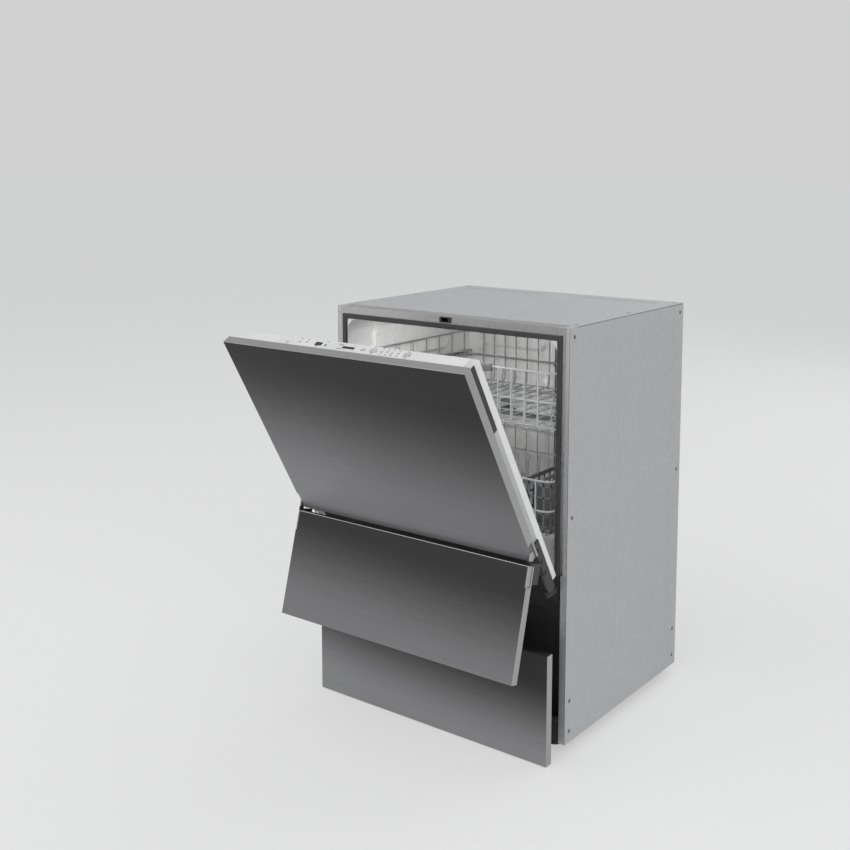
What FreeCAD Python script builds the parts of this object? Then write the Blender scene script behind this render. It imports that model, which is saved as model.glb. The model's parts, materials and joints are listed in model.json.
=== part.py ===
import FreeCAD, Part
import os
import re

# Built-in dishwasher in millimetres, X to the right, Y into the machine, Z up from the floor.
# Pieces are drawn with the door shut, Y counted from the shut front, and each node's placement
# then sets it back by front_offset and opens the door and the swing panel.

SIZES = {
    # steel fronts
    "panel_inset": 2, "panel_thick": 19, "skin_thick": 1, "panel_gap": 6, "floor_gap": 3,
    "fixed_height": 228, "swing_height": 222, "upper_height": 456,
    # place of the shut front, and how far the door stands open
    "front_offset": -144, "door_open_angle": 30, "swing_fold_angle": 45,
    # cabinet
    "cabinet_width": 598, "cabinet_depth": 570, "cabinet_below": 50, "sheet_thick": 1.2,
    "return_width": 15, "tray_set_back": 4, "tray_back_gap": 3, "tray_bottom": 22, "tray_height": 40, "tray_wall": 3, "edge_gap": 0.3,
    "foot_radius": 18, "foot_pad": 6, "stem_radius": 6, "foot_inset_side": 49, "foot_inset_end": 40,
    # tub
    "tub_inset": 29, "tub_sheet": 1, "flange_front": 66, "flange_inset": 9, "tub_depth": 470,
    "tub_floor_top": 374, "tub_drop": 27,
    "gasket_inset": 17, "gasket_width": 10, "gasket_thick": 3.7, "gasket_rise": 10, "gasket_lift": 1,
    "rail_depth": 30, "rail_wall": 1.5, "rail_hole_radius": 2.5, "rail_hole_inset": 99,
    "catch_drop": 2, "catch_width": 28, "catch_thick": 3.2, "catch_height": 12, "slot_width": 18, "slot_height": 8,
    # door
    "hinge_back": 25, "hinge_height": 350, "hinge_pin_radius": 2.5, "running_gap": 0.05,
    "door_inset": 15, "door_thick": 62, "door_rise": 12, "liner_depth": 17, "door_sheet": 1,
    "swing_clear": 2, "housing_height": 147, "housing_wall": 2, "door_step": 18,
    "fascia_depth": 25, "fascia_wall": 2, "fascia_inset": 2, "fascia_below": 1,
    "arm_thick": 3.5, "arm_boss": 5.2, "arm_reach": 130, "bracket_thick": 4, "bracket_boss": 5.2, "bracket_strap": 12,
    "bracket_inset": 8, "sill_height": 55, "sill_wall": 1.5, "pin_end": 9,
    "tongue_width": 14, "tongue_thick": 4, "tongue_length": 12,
    # controls
    "button_long": 16, "button_deep": 9, "button_tall": 11, "button_proud": 1, "button_gap": 0.3,
    "button_back": 32, "power_at": -140, "program_at": -64, "option_at": 72, "start_at": 150,
    "window_left": -14, "window_long": 40, "window_deep": 14, "window_thick": 1, "window_gap": 0.1,
    # detergent dispenser
    "dispenser_width": 160, "dispenser_height": 120, "dispenser_thick": 8, "dispenser_low": 560,
    "pocket_left": -60, "pocket_width": 70, "pocket_height": 64, "pocket_depth": 6,
    "pocket_low": 592, "lid_lap": 4, "lid_thick": 1.8, "lid_gap": 0.2,
    # swing panel hinge
    "swing_pin_back": 4.5, "swing_pin_rise": 18, "swing_pin_radius": 2, "swing_pin_depth": 8,
    "notch_depth": 3, "notch_back": 14, "notch_height": 40, "swing_arm_thick": 2.4,
    "swing_arm_deep": 12, "swing_arm_boss": 4.3,
    # racks
    "bar_radius": 2.2, "wire_radius": 1.6, "wire_gap": 0.1, "rack_back": 506, "bush_radius": 14,
    "upper_clear": 26, "upper_front": 100, "upper_floor": 650, "upper_rim": 770,
    "lower_clear": 30, "lower_front": 96, "lower_floor": 424, "lower_rim": 548,
    "long_pitch": 32, "cross_pitch": 52, "side_pitch": 45,
    "channel_depth": 12, "channel_height": 16, "channel_wall": 4, "channel_lip": 3,
    "channel_low": 700, "channel_front": 90, "channel_length": 440,
    "runner_inset": 15, "runner_gap": 0.3,
    "wheel_radius": 16, "wheel_width": 10, "axle_radius": 4, "wheel_front_at": 140, "wheel_rear_at": 450,
    "hanger_thick": 3, "hanger_width": 28, "hanger_rise": 50,
    "tine_tall": 68, "tine_pitch": 30, "tine_clear": 38, "tine_basket_gap": 40, "tine_row_at": 300,
    "basket_clear": 18, "basket_width": 72, "basket_front": 130, "basket_length": 200,
    "basket_tall": 105, "basket_wall": 2.5,
    # wash system
    "spray_centre": 301, "spray_clear": 65, "spray_width": 36, "spray_thick": 9, "hub_radius": 20, "hub_clear": 4, "hub_drop": 8,
    "spindle_radius": 12, "spindle_top": 392, "lower_spray_low": 396, "upper_spray_low": 622,
    "upper_pin_radius": 6, "sump_radius": 70, "sump_wall": 4, "sump_tall": 68,
    "filter_at": 43, "filter_radius": 19.5, "filter_gap": 0.5, "filter_tall": 46, "filter_proud": 4,
    "pump_radius": 33, "pump_long": 120, "drain_radius": 24, "drain_long": 60,
    "drain_pipe_radius": 12, "drain_pipe_end": 536, "spigot_radius": 10, "spigot_long": 30, "machine_level": 335,
    "valve_inset": 64, "valve_width": 60, "valve_tall": 110, "valve_back": 540, "valve_long": 44,
    "inlet_radius": 13.2, "inlet_long": 26, "inlet_level": 95,
    "feed_radius": 8, "feed_back": 523, "feed_drop": 11, "shower_radius": 30, "shower_tall": 10,
    "strap_thick": 3, "strap_width": 30, "strap_inset": 69, "strap_level": 40, "strap_tall": 90,
    "gland_radius": 9, "gland_bore": 4.5, "gland_inset": 99, "gland_level": 44, "gland_long": 4,
}

doc = FreeCAD.newDocument("dishwasher")
sheet = doc.addObject("Spreadsheet::Sheet", "sizes")
for row, (alias, number) in enumerate(SIZES.items(), start=1):
    sheet.set("A%d" % row, str(number))
    sheet.setAlias("A%d" % row, alias)
doc.recompute()


def size(alias):
    """A driving dimension as a number, read back from the sheet."""
    return float(sheet.get(alias))


# Levels and faces that several pieces share, as formulas of the driving dimensions
LEVELS = {
    "fixed_top": "(floor_gap + fixed_height)",
    "swing_low": "(floor_gap + fixed_height + panel_gap)",
    "swing_high": "(floor_gap + fixed_height + panel_gap + swing_height)",
    "upper_low": "(floor_gap + fixed_height + 2 * panel_gap + swing_height)",
    "upper_high": "(floor_gap + fixed_height + 2 * panel_gap + swing_height + upper_height)",
    "half_cabinet": "(cabinet_width / 2)",
    "half_panel": "(cabinet_width / 2 - panel_inset)",
    "half_door": "(cabinet_width / 2 - door_inset)",
    "tub_half": "(cabinet_width / 2 - tub_inset)",
    "flange_half": "(cabinet_width / 2 - flange_inset)",
    "gasket_half": "(cabinet_width / 2 - gasket_inset)",
    "bracket_half": "(cabinet_width / 2 - door_inset - bracket_inset)",
    "rail_hole_half": "(cabinet_width / 2 - rail_hole_inset)",
    "upper_half": "(cabinet_width / 2 - tub_inset - upper_clear)",
    "lower_half": "(cabinet_width / 2 - tub_inset - lower_clear)",
    "spray_reach": "(cabinet_width / 2 - tub_inset - spray_clear)",
    "basket_left": "(cabinet_width / 2 - tub_inset - lower_clear - basket_clear - basket_width)",
    "valve_left": "(valve_inset - cabinet_width / 2)",
    "strap_at": "(cabinet_width / 2 - strap_inset - strap_width)",
    "gland_at": "(cabinet_width / 2 - gland_inset)",
    "tub_back": "(flange_front + tub_depth)",
    "tray_top": "(tray_bottom + tray_height)",
    "door_low": "(hinge_height + door_rise)",
    "core_back": "(door_thick - liner_depth)",
    "wire_step": "(bar_radius + wire_radius + wire_gap)",
}
LEVELS["door_high"] = "(%s - door_step)" % LEVELS["upper_high"]
LEVELS["housing_low"] = "(%s - door_step - housing_height)" % LEVELS["upper_high"]
LEVELS["fascia_high"] = "(%s - fascia_below)" % LEVELS["upper_high"]
LEVELS["cabinet_top"] = "(%s - cabinet_below)" % LEVELS["upper_high"]
LEVELS["tub_top"] = "(%s - cabinet_below - tub_drop)" % LEVELS["upper_high"]
LEVELS["feed_level"] = "(%s - cabinet_below - tub_drop - feed_drop)" % LEVELS["upper_high"]
LEVELS["swing_pin_level"] = "(%s + swing_pin_rise)" % LEVELS["upper_low"]


def formula(text):
    """A formula for the document: shared levels are written out and sizes get the sheet's name."""
    text = str(text)
    for _ in range(2):
        text = re.sub(r"\b[a-z_]+\b", lambda m: LEVELS.get(m.group(0), m.group(0)), text)
    return re.sub(r"\b[a-z_]+\b", lambda m: "sizes." + m.group(0) if m.group(0) in SIZES else m.group(0), text)


def bind(piece, **formulas):
    for name, text in formulas.items():
        piece.setExpression(name.replace("__", "."), formula(text))
    return piece


def box(name, x0, x1, y0, y1, z0, z1):
    """A block between two X, two Y and two Z faces."""
    block = doc.addObject("Part::Box", name)
    bind(block, Length="(%s) - (%s)" % (x1, x0), Width="(%s) - (%s)" % (y1, y0), Height="(%s) - (%s)" % (z1, z0))
    return bind(block, Placement__Base__x=x0, Placement__Base__y=y0, Placement__Base__z=z0)


TURN_TO = {
    "x": FreeCAD.Rotation(FreeCAD.Vector(0, 1, 0), 90),
    "y": FreeCAD.Rotation(FreeCAD.Vector(1, 0, 0), -90),
    "z": FreeCAD.Rotation(),
}


def rod(name, axis, radius, length, x, y, z):
    """A round bar that starts at x, y, z and runs along one axis."""
    bar = doc.addObject("Part::Cylinder", name)
    bar.Placement.Rotation = TURN_TO[axis]
    bind(bar, Radius=radius, Height=length)
    return bind(bar, Placement__Base__x=x, Placement__Base__y=y, Placement__Base__z=z)


def joined(name, *pieces):
    fuse = doc.addObject("Part::MultiFuse", name)
    fuse.Shapes = list(pieces)
    fuse.Refine = True
    return fuse


def cut(name, base, *tools):
    piece = doc.addObject("Part::Cut", name)
    piece.Base = base
    piece.Tool = tools[0] if len(tools) == 1 else joined(name + "_tools", *tools)
    piece.Refine = True
    return piece


# How each group of nodes stands in the photographed pose
SHIFT = "placement(vector(0; front_offset; 0); rotation(vector(1; 0; 0); 0))"
DOOR = "placement(vector(0; 0; 0); rotation(vector(1; 0; 0); door_open_angle); vector(0; hinge_back; hinge_height))"
SWING = ("placement(vector(0; 0; 0); rotation(vector(1; 0; 0); 0 - swing_fold_angle); "
         "vector(0; swing_pin_back; swing_pin_level))")
STANDS = {"cabinet": SHIFT, "door": SHIFT + " * " + DOOR, "swing": SHIFT + " * " + DOOR + " * " + SWING}
nodes = []


def node(label, stands, *pieces):
    """One named sub-part: its solids, set where the group stands."""
    group = doc.addObject("Part::Compound", label)
    group.Label = label
    group.Links = list(pieces)
    group.setExpression("Placement", formula(STANDS[stands]))
    nodes.append(group)
    return group


def wires(label, stands, shapes, *pieces):
    """A welded wire sub-part: the looped wires are one feature beside any other solids."""
    mat = doc.addObject("Part::Feature", label + "_wires")
    mat.Shape = Part.makeCompound(shapes)
    return node(label, stands, mat, *pieces)


def wire(radius, start, end):
    start, end = FreeCAD.Vector(*start), FreeCAD.Vector(*end)
    return Part.makeCylinder(radius, start.distanceToPoint(end), start, end - start)


def spread(low, high, pitch):
    """Evenly spaced places between two ends, about one pitch apart."""
    count = max(2, int(round((high - low) / pitch)) + 1)
    return [low + (high - low) * i / (count - 1) for i in range(count)]


# Base tray on four levelling feet. The tray is a shallow moulded pan with the mains cable gland.
TRAY_HALF = "half_cabinet - sheet_thick - edge_gap"
TRAY_FRONT = "flange_front + tray_set_back"
TRAY_BACK = "cabinet_depth - sheet_thick - tray_back_gap"
tray = cut(
    "tray_pan",
    joined("tray_solid",
           box("tray_block", "-(%s)" % TRAY_HALF, TRAY_HALF, TRAY_FRONT, TRAY_BACK, "tray_bottom", "tray_top"),
           rod("gland_boss", "y", "gland_radius", "gland_long", "gland_at", "(%s) - gland_long / 2" % TRAY_BACK,
               "gland_level")),
    box("tray_hollow", "-(%s) + tray_wall" % TRAY_HALF, "(%s) - tray_wall" % TRAY_HALF,
        "(%s) + tray_wall" % TRAY_FRONT, "(%s) - tray_wall" % TRAY_BACK, "tray_bottom + tray_wall", "tray_top + 1"),
    rod("gland_hole", "y", "gland_bore", "6 * gland_long", "gland_at", "(%s) - 3 * gland_long" % TRAY_BACK,
        "gland_level"),
)
node("base_tray", "cabinet", tray)

feet = []
for side in (-1, 1):
    for end, foot_y in (("front", "(%s) + foot_inset_end" % TRAY_FRONT), ("rear", "(%s) - foot_inset_end" % TRAY_BACK)):
        foot_x = "%d * (half_cabinet - foot_inset_side)" % side
        name = "foot_%s_%s" % (end, "left" if side < 0 else "right")
        feet.append(joined(name,
                           rod(name + "_pad", "z", "foot_radius", "foot_pad", foot_x, foot_y, "0"),
                           rod(name + "_stem", "z", "stem_radius", "tray_bottom - 1", foot_x, foot_y, "1")))
node("levelling_feet", "cabinet", *feet)


def mirrored(side, near, far):
    """X faces of a block that stands on the left (-1) or the right (1)."""
    return (near, far) if side > 0 else ("-(%s)" % far, "-(%s)" % near)


# Sheet steel casing: two side panels with a front return, the rear panel and the top cover
for side, name in ((-1, "side_panel_left"), (1, "side_panel_right")):
    sheet_x = mirrored(side, "half_cabinet - sheet_thick", "half_cabinet")
    return_x = mirrored(side, "half_cabinet - return_width", "half_cabinet - sheet_thick / 2")
    node(name, "cabinet", joined(
        name + "_bent",
        box(name + "_sheet", *sheet_x, "flange_front + tub_sheet", "cabinet_depth - sheet_thick",
            "tray_bottom", "cabinet_top"),
        box(name + "_return", *return_x, "flange_front + tub_sheet", "flange_front + tub_sheet + sheet_thick",
            "tray_bottom", "cabinet_top")))
node("rear_panel", "cabinet", box("rear_sheet", "-half_cabinet", "half_cabinet", "cabinet_depth - sheet_thick",
                                  "cabinet_depth", "tub_floor_top - 2", "cabinet_top"))
node("top_cover", "cabinet", box("top_sheet", "-half_cabinet", "half_cabinet",
                                 "flange_front + tub_sheet + rail_depth", "cabinet_depth", "cabinet_top",
                                 "cabinet_top + sheet_thick"))

CATCH_LOW = "cabinet_top - catch_drop - catch_height"
CATCH_MIDDLE = "cabinet_top - catch_drop - catch_height / 2"

# Stainless tub: folded side walls and ceiling with a front flange, welded to the back wall and the floor
for side, name in ((-1, "tub_side_left"), (1, "tub_side_right")):
    wall_x = mirrored(side, "tub_half", "tub_half + tub_sheet")
    flange_x = mirrored(side, "tub_half", "flange_half")
    node(name, "cabinet", joined(
        name + "_folded",
        box(name + "_wall", *wall_x, "flange_front", "tub_back", "tub_floor_top - tub_sheet", "tub_top + tub_sheet"),
        box(name + "_flange", *flange_x, "flange_front", "flange_front + tub_sheet",
            "tub_floor_top - tub_sheet", "cabinet_top")))
node("tub_ceiling", "cabinet", cut(
    "ceiling_slotted",
    joined("ceiling_folded",
           box("ceiling_sheet", "-tub_half", "tub_half", "flange_front", "tub_back", "tub_top", "tub_top + tub_sheet"),
           box("ceiling_flange", "-tub_half", "tub_half", "flange_front", "flange_front + tub_sheet",
               "tub_top", "cabinet_top")),
    box("ceiling_slot", "-slot_width / 2", "slot_width / 2", "flange_front - 1", "flange_front + tub_sheet + 1",
        CATCH_MIDDLE + " - slot_height / 2", CATCH_MIDDLE + " + slot_height / 2")))
node("tub_back_wall", "cabinet", box("back_sheet", "-(tub_half + tub_sheet)", "tub_half + tub_sheet", "tub_back",
                                     "tub_back + tub_sheet", "tub_floor_top - tub_sheet", "tub_top + tub_sheet"))
node("tub_floor", "cabinet", cut(
    "floor_holed",
    box("floor_sheet", "-tub_half", "tub_half", "flange_front", "tub_back", "tub_floor_top - tub_sheet",
        "tub_floor_top"),
    rod("spindle_hole", "z", "spindle_radius + edge_gap", "6 * tub_sheet", "0", "spray_centre",
        "tub_floor_top - 3 * tub_sheet"),
    rod("filter_hole", "z", "filter_radius + filter_gap", "6 * tub_sheet", "filter_at", "spray_centre",
        "tub_floor_top - 3 * tub_sheet")))

# Rubber gasket round the opening, on the flange: left, right and top strips in one moulding
gasket_y = ("flange_front - gasket_thick", "flange_front")
node("tub_gasket", "cabinet", joined(
    "gasket_moulding",
    box("gasket_left", *mirrored(-1, "gasket_half - gasket_width", "gasket_half"), *gasket_y,
        "tub_floor_top", "tub_top + gasket_lift + gasket_rise"),
    box("gasket_right", *mirrored(1, "gasket_half - gasket_width", "gasket_half"), *gasket_y,
        "tub_floor_top", "tub_top + gasket_lift + gasket_rise"),
    box("gasket_top", "-gasket_half", "gasket_half", *gasket_y, "tub_top + gasket_lift", "tub_top + gasket_lift + gasket_rise")))

# Top front rail, a channel open to the front, with two holes for the screws into the shelf above
rail_y = ("flange_front + tub_sheet", "flange_front + tub_sheet + rail_depth")
RAIL_HALF = "half_cabinet - return_width"
rail_screw_y = "flange_front + tub_sheet + 2 * rail_depth / 3"
node("top_front_rail", "cabinet", cut(
    "rail_channel",
    box("rail_block", "-(%s)" % RAIL_HALF, RAIL_HALF, *rail_y, "tub_top + tub_sheet", "cabinet_top"),
    box("rail_hollow", "-half_cabinet", "half_cabinet", "flange_front", rail_y[1] + " - rail_wall",
        "tub_top + tub_sheet + rail_wall", "cabinet_top - rail_wall"),
    rod("rail_hole_left", "z", "rail_hole_radius", "4 * rail_wall", "-rail_hole_half", rail_screw_y,
        "cabinet_top - 2 * rail_wall"),
    rod("rail_hole_right", "z", "rail_hole_radius", "4 * rail_wall", "rail_hole_half", rail_screw_y,
        "cabinet_top - 2 * rail_wall")))

# Door catch: a black moulding on the flange, with the slot that the latch tongue enters
node("latch_catch", "cabinet", cut(
    "catch_moulding",
    box("catch_block", "-catch_width / 2", "catch_width / 2", "flange_front - catch_thick", "flange_front",
        CATCH_LOW, CATCH_LOW + " + catch_height"),
    box("catch_slot", "-slot_width / 2", "slot_width / 2", "flange_front - 2 * catch_thick", "flange_front + 1",
        CATCH_MIDDLE + " - slot_height / 2", CATCH_MIDDLE + " + slot_height / 2")))

# Door sill, a channel under the front of the tub, and the hinge brackets at its ends
sill_y = ("flange_front + tub_sheet", "flange_front + tub_sheet + rail_depth")
SILL_TOP = "tub_floor_top - tub_sheet"
node("door_sill", "cabinet", cut(
    "sill_channel",
    box("sill_block", "-bracket_half", "bracket_half", *sill_y, SILL_TOP + " - sill_height", SILL_TOP),
    box("sill_hollow", "-bracket_half - 1", "bracket_half + 1", sill_y[0] + " + sill_wall", sill_y[1] + " + 1",
        SILL_TOP + " - sill_height + sill_wall", SILL_TOP + " - sill_wall")))
brackets = []
for side, name in ((-1, "bracket_left"), (1, "bracket_right")):
    plate_x = mirrored(side, "bracket_half", "bracket_half + bracket_thick")
    start_x = plate_x[0]
    pin_x = "bracket_half" if side > 0 else "-(bracket_half + bracket_thick + pin_end)"
    brackets.append(joined(
        name,
        rod(name + "_boss", "x", "bracket_boss", "bracket_thick", start_x, "hinge_back", "hinge_height"),
        box(name + "_strap", *plate_x, "hinge_back", sill_y[0] + " + 1", "hinge_height - bracket_strap", "hinge_height"),
        box(name + "_plate", *plate_x, *sill_y, SILL_TOP + " - sill_height", SILL_TOP),
        rod(name + "_pin", "x", "hinge_pin_radius", "bracket_thick + pin_end", pin_x, "hinge_back", "hinge_height")))
node("hinge_brackets", "cabinet", *brackets)


def steel_front(label, stands, low, high, *notches):
    """A steel-faced front: a folded skin, open at the back, round a board core."""
    skin = cut(label + "_tray",
               box(label + "_skin_block", "-half_panel", "half_panel", "0", "panel_thick", low, high),
               box(label + "_skin_hollow", "-half_panel + skin_thick", "half_panel - skin_thick", "skin_thick",
                   "panel_thick + 1", "(%s) + skin_thick" % low, "(%s) - skin_thick" % high))
    core = box(label + "_board", "-half_panel + skin_thick", "half_panel - skin_thick", "skin_thick",
               "panel_thick", "(%s) + skin_thick" % low, "(%s) - skin_thick" % high)
    if notches:
        skin = cut(label + "_skin_notched", skin, *notches)
        core = cut(label + "_core_notched", core, *notches)
    node(label + "_skin", stands, skin)
    return core


def side_notches(label, depth, low, high):
    """Open corners at the two side edges of a front, where the swing arms lie."""
    return [box("%s_notch_%d" % (label, i), *mirrored(side, "half_panel - (%s)" % depth, "half_panel + 1"), "-1",
                "notch_back", low, high) for i, side in enumerate((-1, 1))]


# Fixed bottom front, held to the tray by two bent straps
node("fixed_panel_core", "cabinet", steel_front("fixed_panel", "cabinet", "floor_gap", "fixed_top"))
straps = []
for side, name in ((-1, "strap_left"), (1, "strap_right")):
    strap_x = mirrored(side, "strap_at", "strap_at + strap_width")
    straps.append(joined(
        name,
        box(name + "_flat", *strap_x, "panel_thick", TRAY_FRONT, "strap_level", "strap_level + strap_thick"),
        box(name + "_up", *strap_x, "panel_thick", "panel_thick + strap_thick", "strap_level", "strap_level + strap_tall")))
node("fixed_panel_brackets", "cabinet", *straps)

# Upper front on the door. Its notched lower corners take the swing arms, whose pins turn in its core.
upper_notches = side_notches("upper_panel", "notch_depth", "upper_low - 1", "upper_low + notch_height")
upper_core = steel_front("upper_panel", "door", "upper_low", "upper_high", *upper_notches)
pin_bores = [rod("pin_bore_%d" % i, "x", "swing_pin_radius + running_gap", "swing_pin_depth + 1",
                 "half_panel - notch_depth - swing_pin_depth" if side > 0 else "-(half_panel - notch_depth + 1)",
                 "swing_pin_back", "swing_pin_level") for i, side in enumerate((-1, 1))]
node("upper_panel_core", "door", cut("upper_core_bored", upper_core, *pin_bores))

# Door box: sheet shell behind the front, stainless liner, and the control housing in its upper part
shell_outer = joined(
    "shell_outer",
    box("shell_upper", "-half_door", "half_door", "panel_thick", "core_back", "upper_low + panel_gap", "housing_low"),
    box("shell_lower", "-half_door", "half_door", "panel_thick + swing_clear", "core_back", "door_low",
        "upper_low + panel_gap + 1"))
node("door_shell", "door", cut(
    "shell_tray", shell_outer,
    box("shell_hollow", "-half_door + door_sheet", "half_door - door_sheet", "panel_thick + swing_clear + door_sheet",
        "core_back + 1", "door_low + door_sheet", "housing_low - door_sheet")))
node("door_liner", "door", cut(
    "liner_tray",
    box("liner_block", "-half_door", "half_door", "core_back", "door_thick", "door_low", "door_high"),
    box("liner_hollow", "-half_door + door_sheet", "half_door - door_sheet", "core_back - 1",
        "door_thick - door_sheet", "door_low + door_sheet", "door_high - door_sheet")))
node("control_housing", "door", cut(
    "housing_box",
    box("housing_block", "-half_door", "half_door", "panel_thick", "core_back", "housing_low", "door_high"),
    box("housing_hollow", "-half_door + housing_wall", "half_door - housing_wall", "panel_thick + housing_wall",
        "core_back - housing_wall", "housing_low + housing_wall", "door_high + 1")))

# Control fascia: the moulded top edge of the door, with openings for the buttons and a seat for the window
FASCIA_HALF = "half_door - fascia_inset"
BUTTONS = {"power_button": "power_at", "program_button": "program_at", "option_button": "option_at",
           "start_button": "start_at"}
button_y = ("button_back - button_deep / 2", "button_back + button_deep / 2")
window_y = ("button_back - window_deep / 2", "button_back + window_deep / 2")
openings = [box(name + "_hole", at + " - button_long / 2 - button_gap", at + " + button_long / 2 + button_gap",
                button_y[0] + " - button_gap", button_y[1] + " + button_gap", "door_high", "fascia_high + 1")
            for name, at in BUTTONS.items()]
node("control_fascia", "door", cut(
    "fascia_moulding",
    box("fascia_block", "-(%s)" % FASCIA_HALF, FASCIA_HALF, "panel_thick", "panel_thick + fascia_depth",
        "door_high", "fascia_high"),
    box("fascia_hollow", "-(%s) + fascia_wall" % FASCIA_HALF, "(%s) - fascia_wall" % FASCIA_HALF,
        "panel_thick + fascia_wall", "panel_thick + fascia_depth - fascia_wall", "door_high - 1",
        "fascia_high - fascia_wall"),
    box("window_seat", "window_left - window_gap", "window_left + window_long + window_gap",
        window_y[0] + " - window_gap", window_y[1] + " + window_gap", "fascia_high - window_thick", "fascia_high + 1"),
    *openings))
node("display_window", "door", box("window_pane", "window_left", "window_left + window_long", *window_y,
                                   "fascia_high - window_thick", "fascia_high"))
for name, at in BUTTONS.items():
    node(name, "door", box(name + "_cap", at + " - button_long / 2", at + " + button_long / 2", *button_y,
                           "fascia_high + button_proud - button_tall", "fascia_high + button_proud"))
node("latch_tongue", "door", box("tongue_bar", "-tongue_width / 2", "tongue_width / 2", "door_thick",
                                 "door_thick + tongue_length", CATCH_MIDDLE + " - tongue_thick / 2",
                                 CATCH_MIDDLE + " + tongue_thick / 2"))

# Hinge arms on the sides of the door box, bored for the bracket pins
arms = []
for side, name in ((-1, "hinge_arm_left"), (1, "hinge_arm_right")):
    arm_x = mirrored(side, "half_door", "half_door + arm_thick")
    arms.append(cut(
        name,
        joined(name + "_solid",
               rod(name + "_boss", "x", "arm_boss", "arm_thick", arm_x[0], "hinge_back", "hinge_height"),
               box(name + "_strap", *arm_x, "panel_thick + swing_clear", "core_back", "hinge_height",
                   "hinge_height + arm_reach")),
        rod(name + "_bore", "x", "hinge_pin_radius + running_gap", "arm_thick + 2", arm_x[0] + " - 1", "hinge_back",
            "hinge_height")))
node("hinge_arms", "door", *arms)

# Detergent dispenser on the liner, with a pocket and a lid hinged along its lower edge
POCKET_RIGHT = "pocket_left + pocket_width"
LID_FACE = "door_thick + dispenser_thick + lid_gap"
node("dispenser_body", "door", cut(
    "dispenser_moulding",
    box("dispenser_block", "-dispenser_width / 2", "dispenser_width / 2", "door_thick", "door_thick + dispenser_thick",
        "dispenser_low", "dispenser_low + dispenser_height"),
    box("dispenser_pocket", "pocket_left", POCKET_RIGHT, "door_thick + dispenser_thick - pocket_depth",
        "door_thick + dispenser_thick + 1", "pocket_low", "pocket_low + pocket_height")))
node("dispenser_lid", "door", box("lid_plate", "pocket_left - lid_lap", POCKET_RIGHT + " + lid_lap", LID_FACE,
                                  LID_FACE + " + lid_thick", "pocket_low - lid_lap",
                                  "pocket_low + pocket_height + lid_lap"))

# Swing front under the upper one, carried by two flat arms with pins
swing_notches = side_notches("swing_panel", "notch_depth - edge_gap", "swing_high - notch_height", "swing_high + 1")
node("swing_panel_core", "swing", steel_front("swing_panel", "swing", "swing_low", "swing_high", *swing_notches))
swing_arms = []
for side, name in ((-1, "swing_arm_left"), (1, "swing_arm_right")):
    plate_x = mirrored(side, "half_panel - notch_depth + edge_gap", "half_panel - notch_depth + edge_gap + swing_arm_thick")
    pin_x = "half_panel - notch_depth - swing_pin_depth + edge_gap" if side > 0 else plate_x[0]
    swing_arms.append(joined(
        name,
        rod(name + "_boss", "x", "swing_arm_boss", "swing_arm_thick", plate_x[0], "swing_pin_back", "swing_pin_level"),
        box(name + "_strap", *plate_x, "swing_pin_back - swing_arm_boss", "swing_arm_deep",
            "swing_high - notch_height + 1", "swing_pin_level"),
        rod(name + "_pin", "x", "swing_pin_radius", "swing_pin_depth + swing_arm_thick", pin_x, "swing_pin_back",
            "swing_pin_level")))
node("swing_arms", "swing", *swing_arms)


class Rack:
    """One wire rack: a floor mat and four upright grilles of straight wires in layers."""

    def __init__(self, name, clear, front, floor, rim):
        self.name = name
        self.half = size("cabinet_width") / 2 - size("tub_inset") - size(clear)
        self.front, self.floor, self.rim = size(front), size(floor), size(rim)
        self.back = size("rack_back")
        self.bar, self.thin, self.gap = size("bar_radius"), size("wire_radius"), size("wire_gap")
        self.step = self.bar + self.thin + self.gap
        self.middle = (self.floor + self.rim) / 2
        self.centre = size("spray_centre")
        self.cross_level = self.floor + 2 * self.thin + self.gap

    def centred(self, low, high, middle, pitch):
        """Places half a pitch off the middle, so that the middle itself stays free."""
        steps = [middle + sign * (i + 0.5) * pitch for i in range(40) for sign in (-1, 1)]
        return [s for s in steps if low <= s <= high]

    def floor_mat(self):
        inner = self.bar + self.gap
        edge = self.half - inner - self.thin
        mat = [wire(self.thin, (x, self.front + inner, self.floor), (x, self.back - inner, self.floor))
               for x in self.centred(-edge, edge, 0, size("long_pitch"))]
        low, high = self.front + inner + self.thin, self.back - inner - self.thin
        mat += [wire(self.thin, (inner - self.half, y, self.cross_level), (self.half - inner, y, self.cross_level))
                for y in self.centred(low, high, self.centre, size("cross_pitch"))]
        return mat

    def end_grille(self, y, outward):
        reach = self.half + self.bar
        bars = [wire(self.bar, (-reach, y, z), (reach, y, z)) for z in (self.floor, self.middle, self.rim)]
        y_up = y + outward * self.step
        return bars + [wire(self.thin, (x, y_up, self.floor), (x, y_up, self.rim))
                       for x in spread(-self.half + self.bar, self.half - self.bar, size("side_pitch"))]

    def side_grille(self, side):
        inner = self.bar + self.gap
        x = side * self.half
        ends = (self.front + inner, self.back - inner)
        bars = [wire(self.bar, (x, ends[0], z), (x, ends[1], z)) for z in (self.floor, self.middle, self.rim)]
        x_up = x + side * self.step
        return bars + [wire(self.thin, (x_up, y, self.floor), (x_up, y, self.rim))
                       for y in spread(ends[0] + self.thin, ends[1] - self.thin, size("side_pitch"))]


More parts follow.
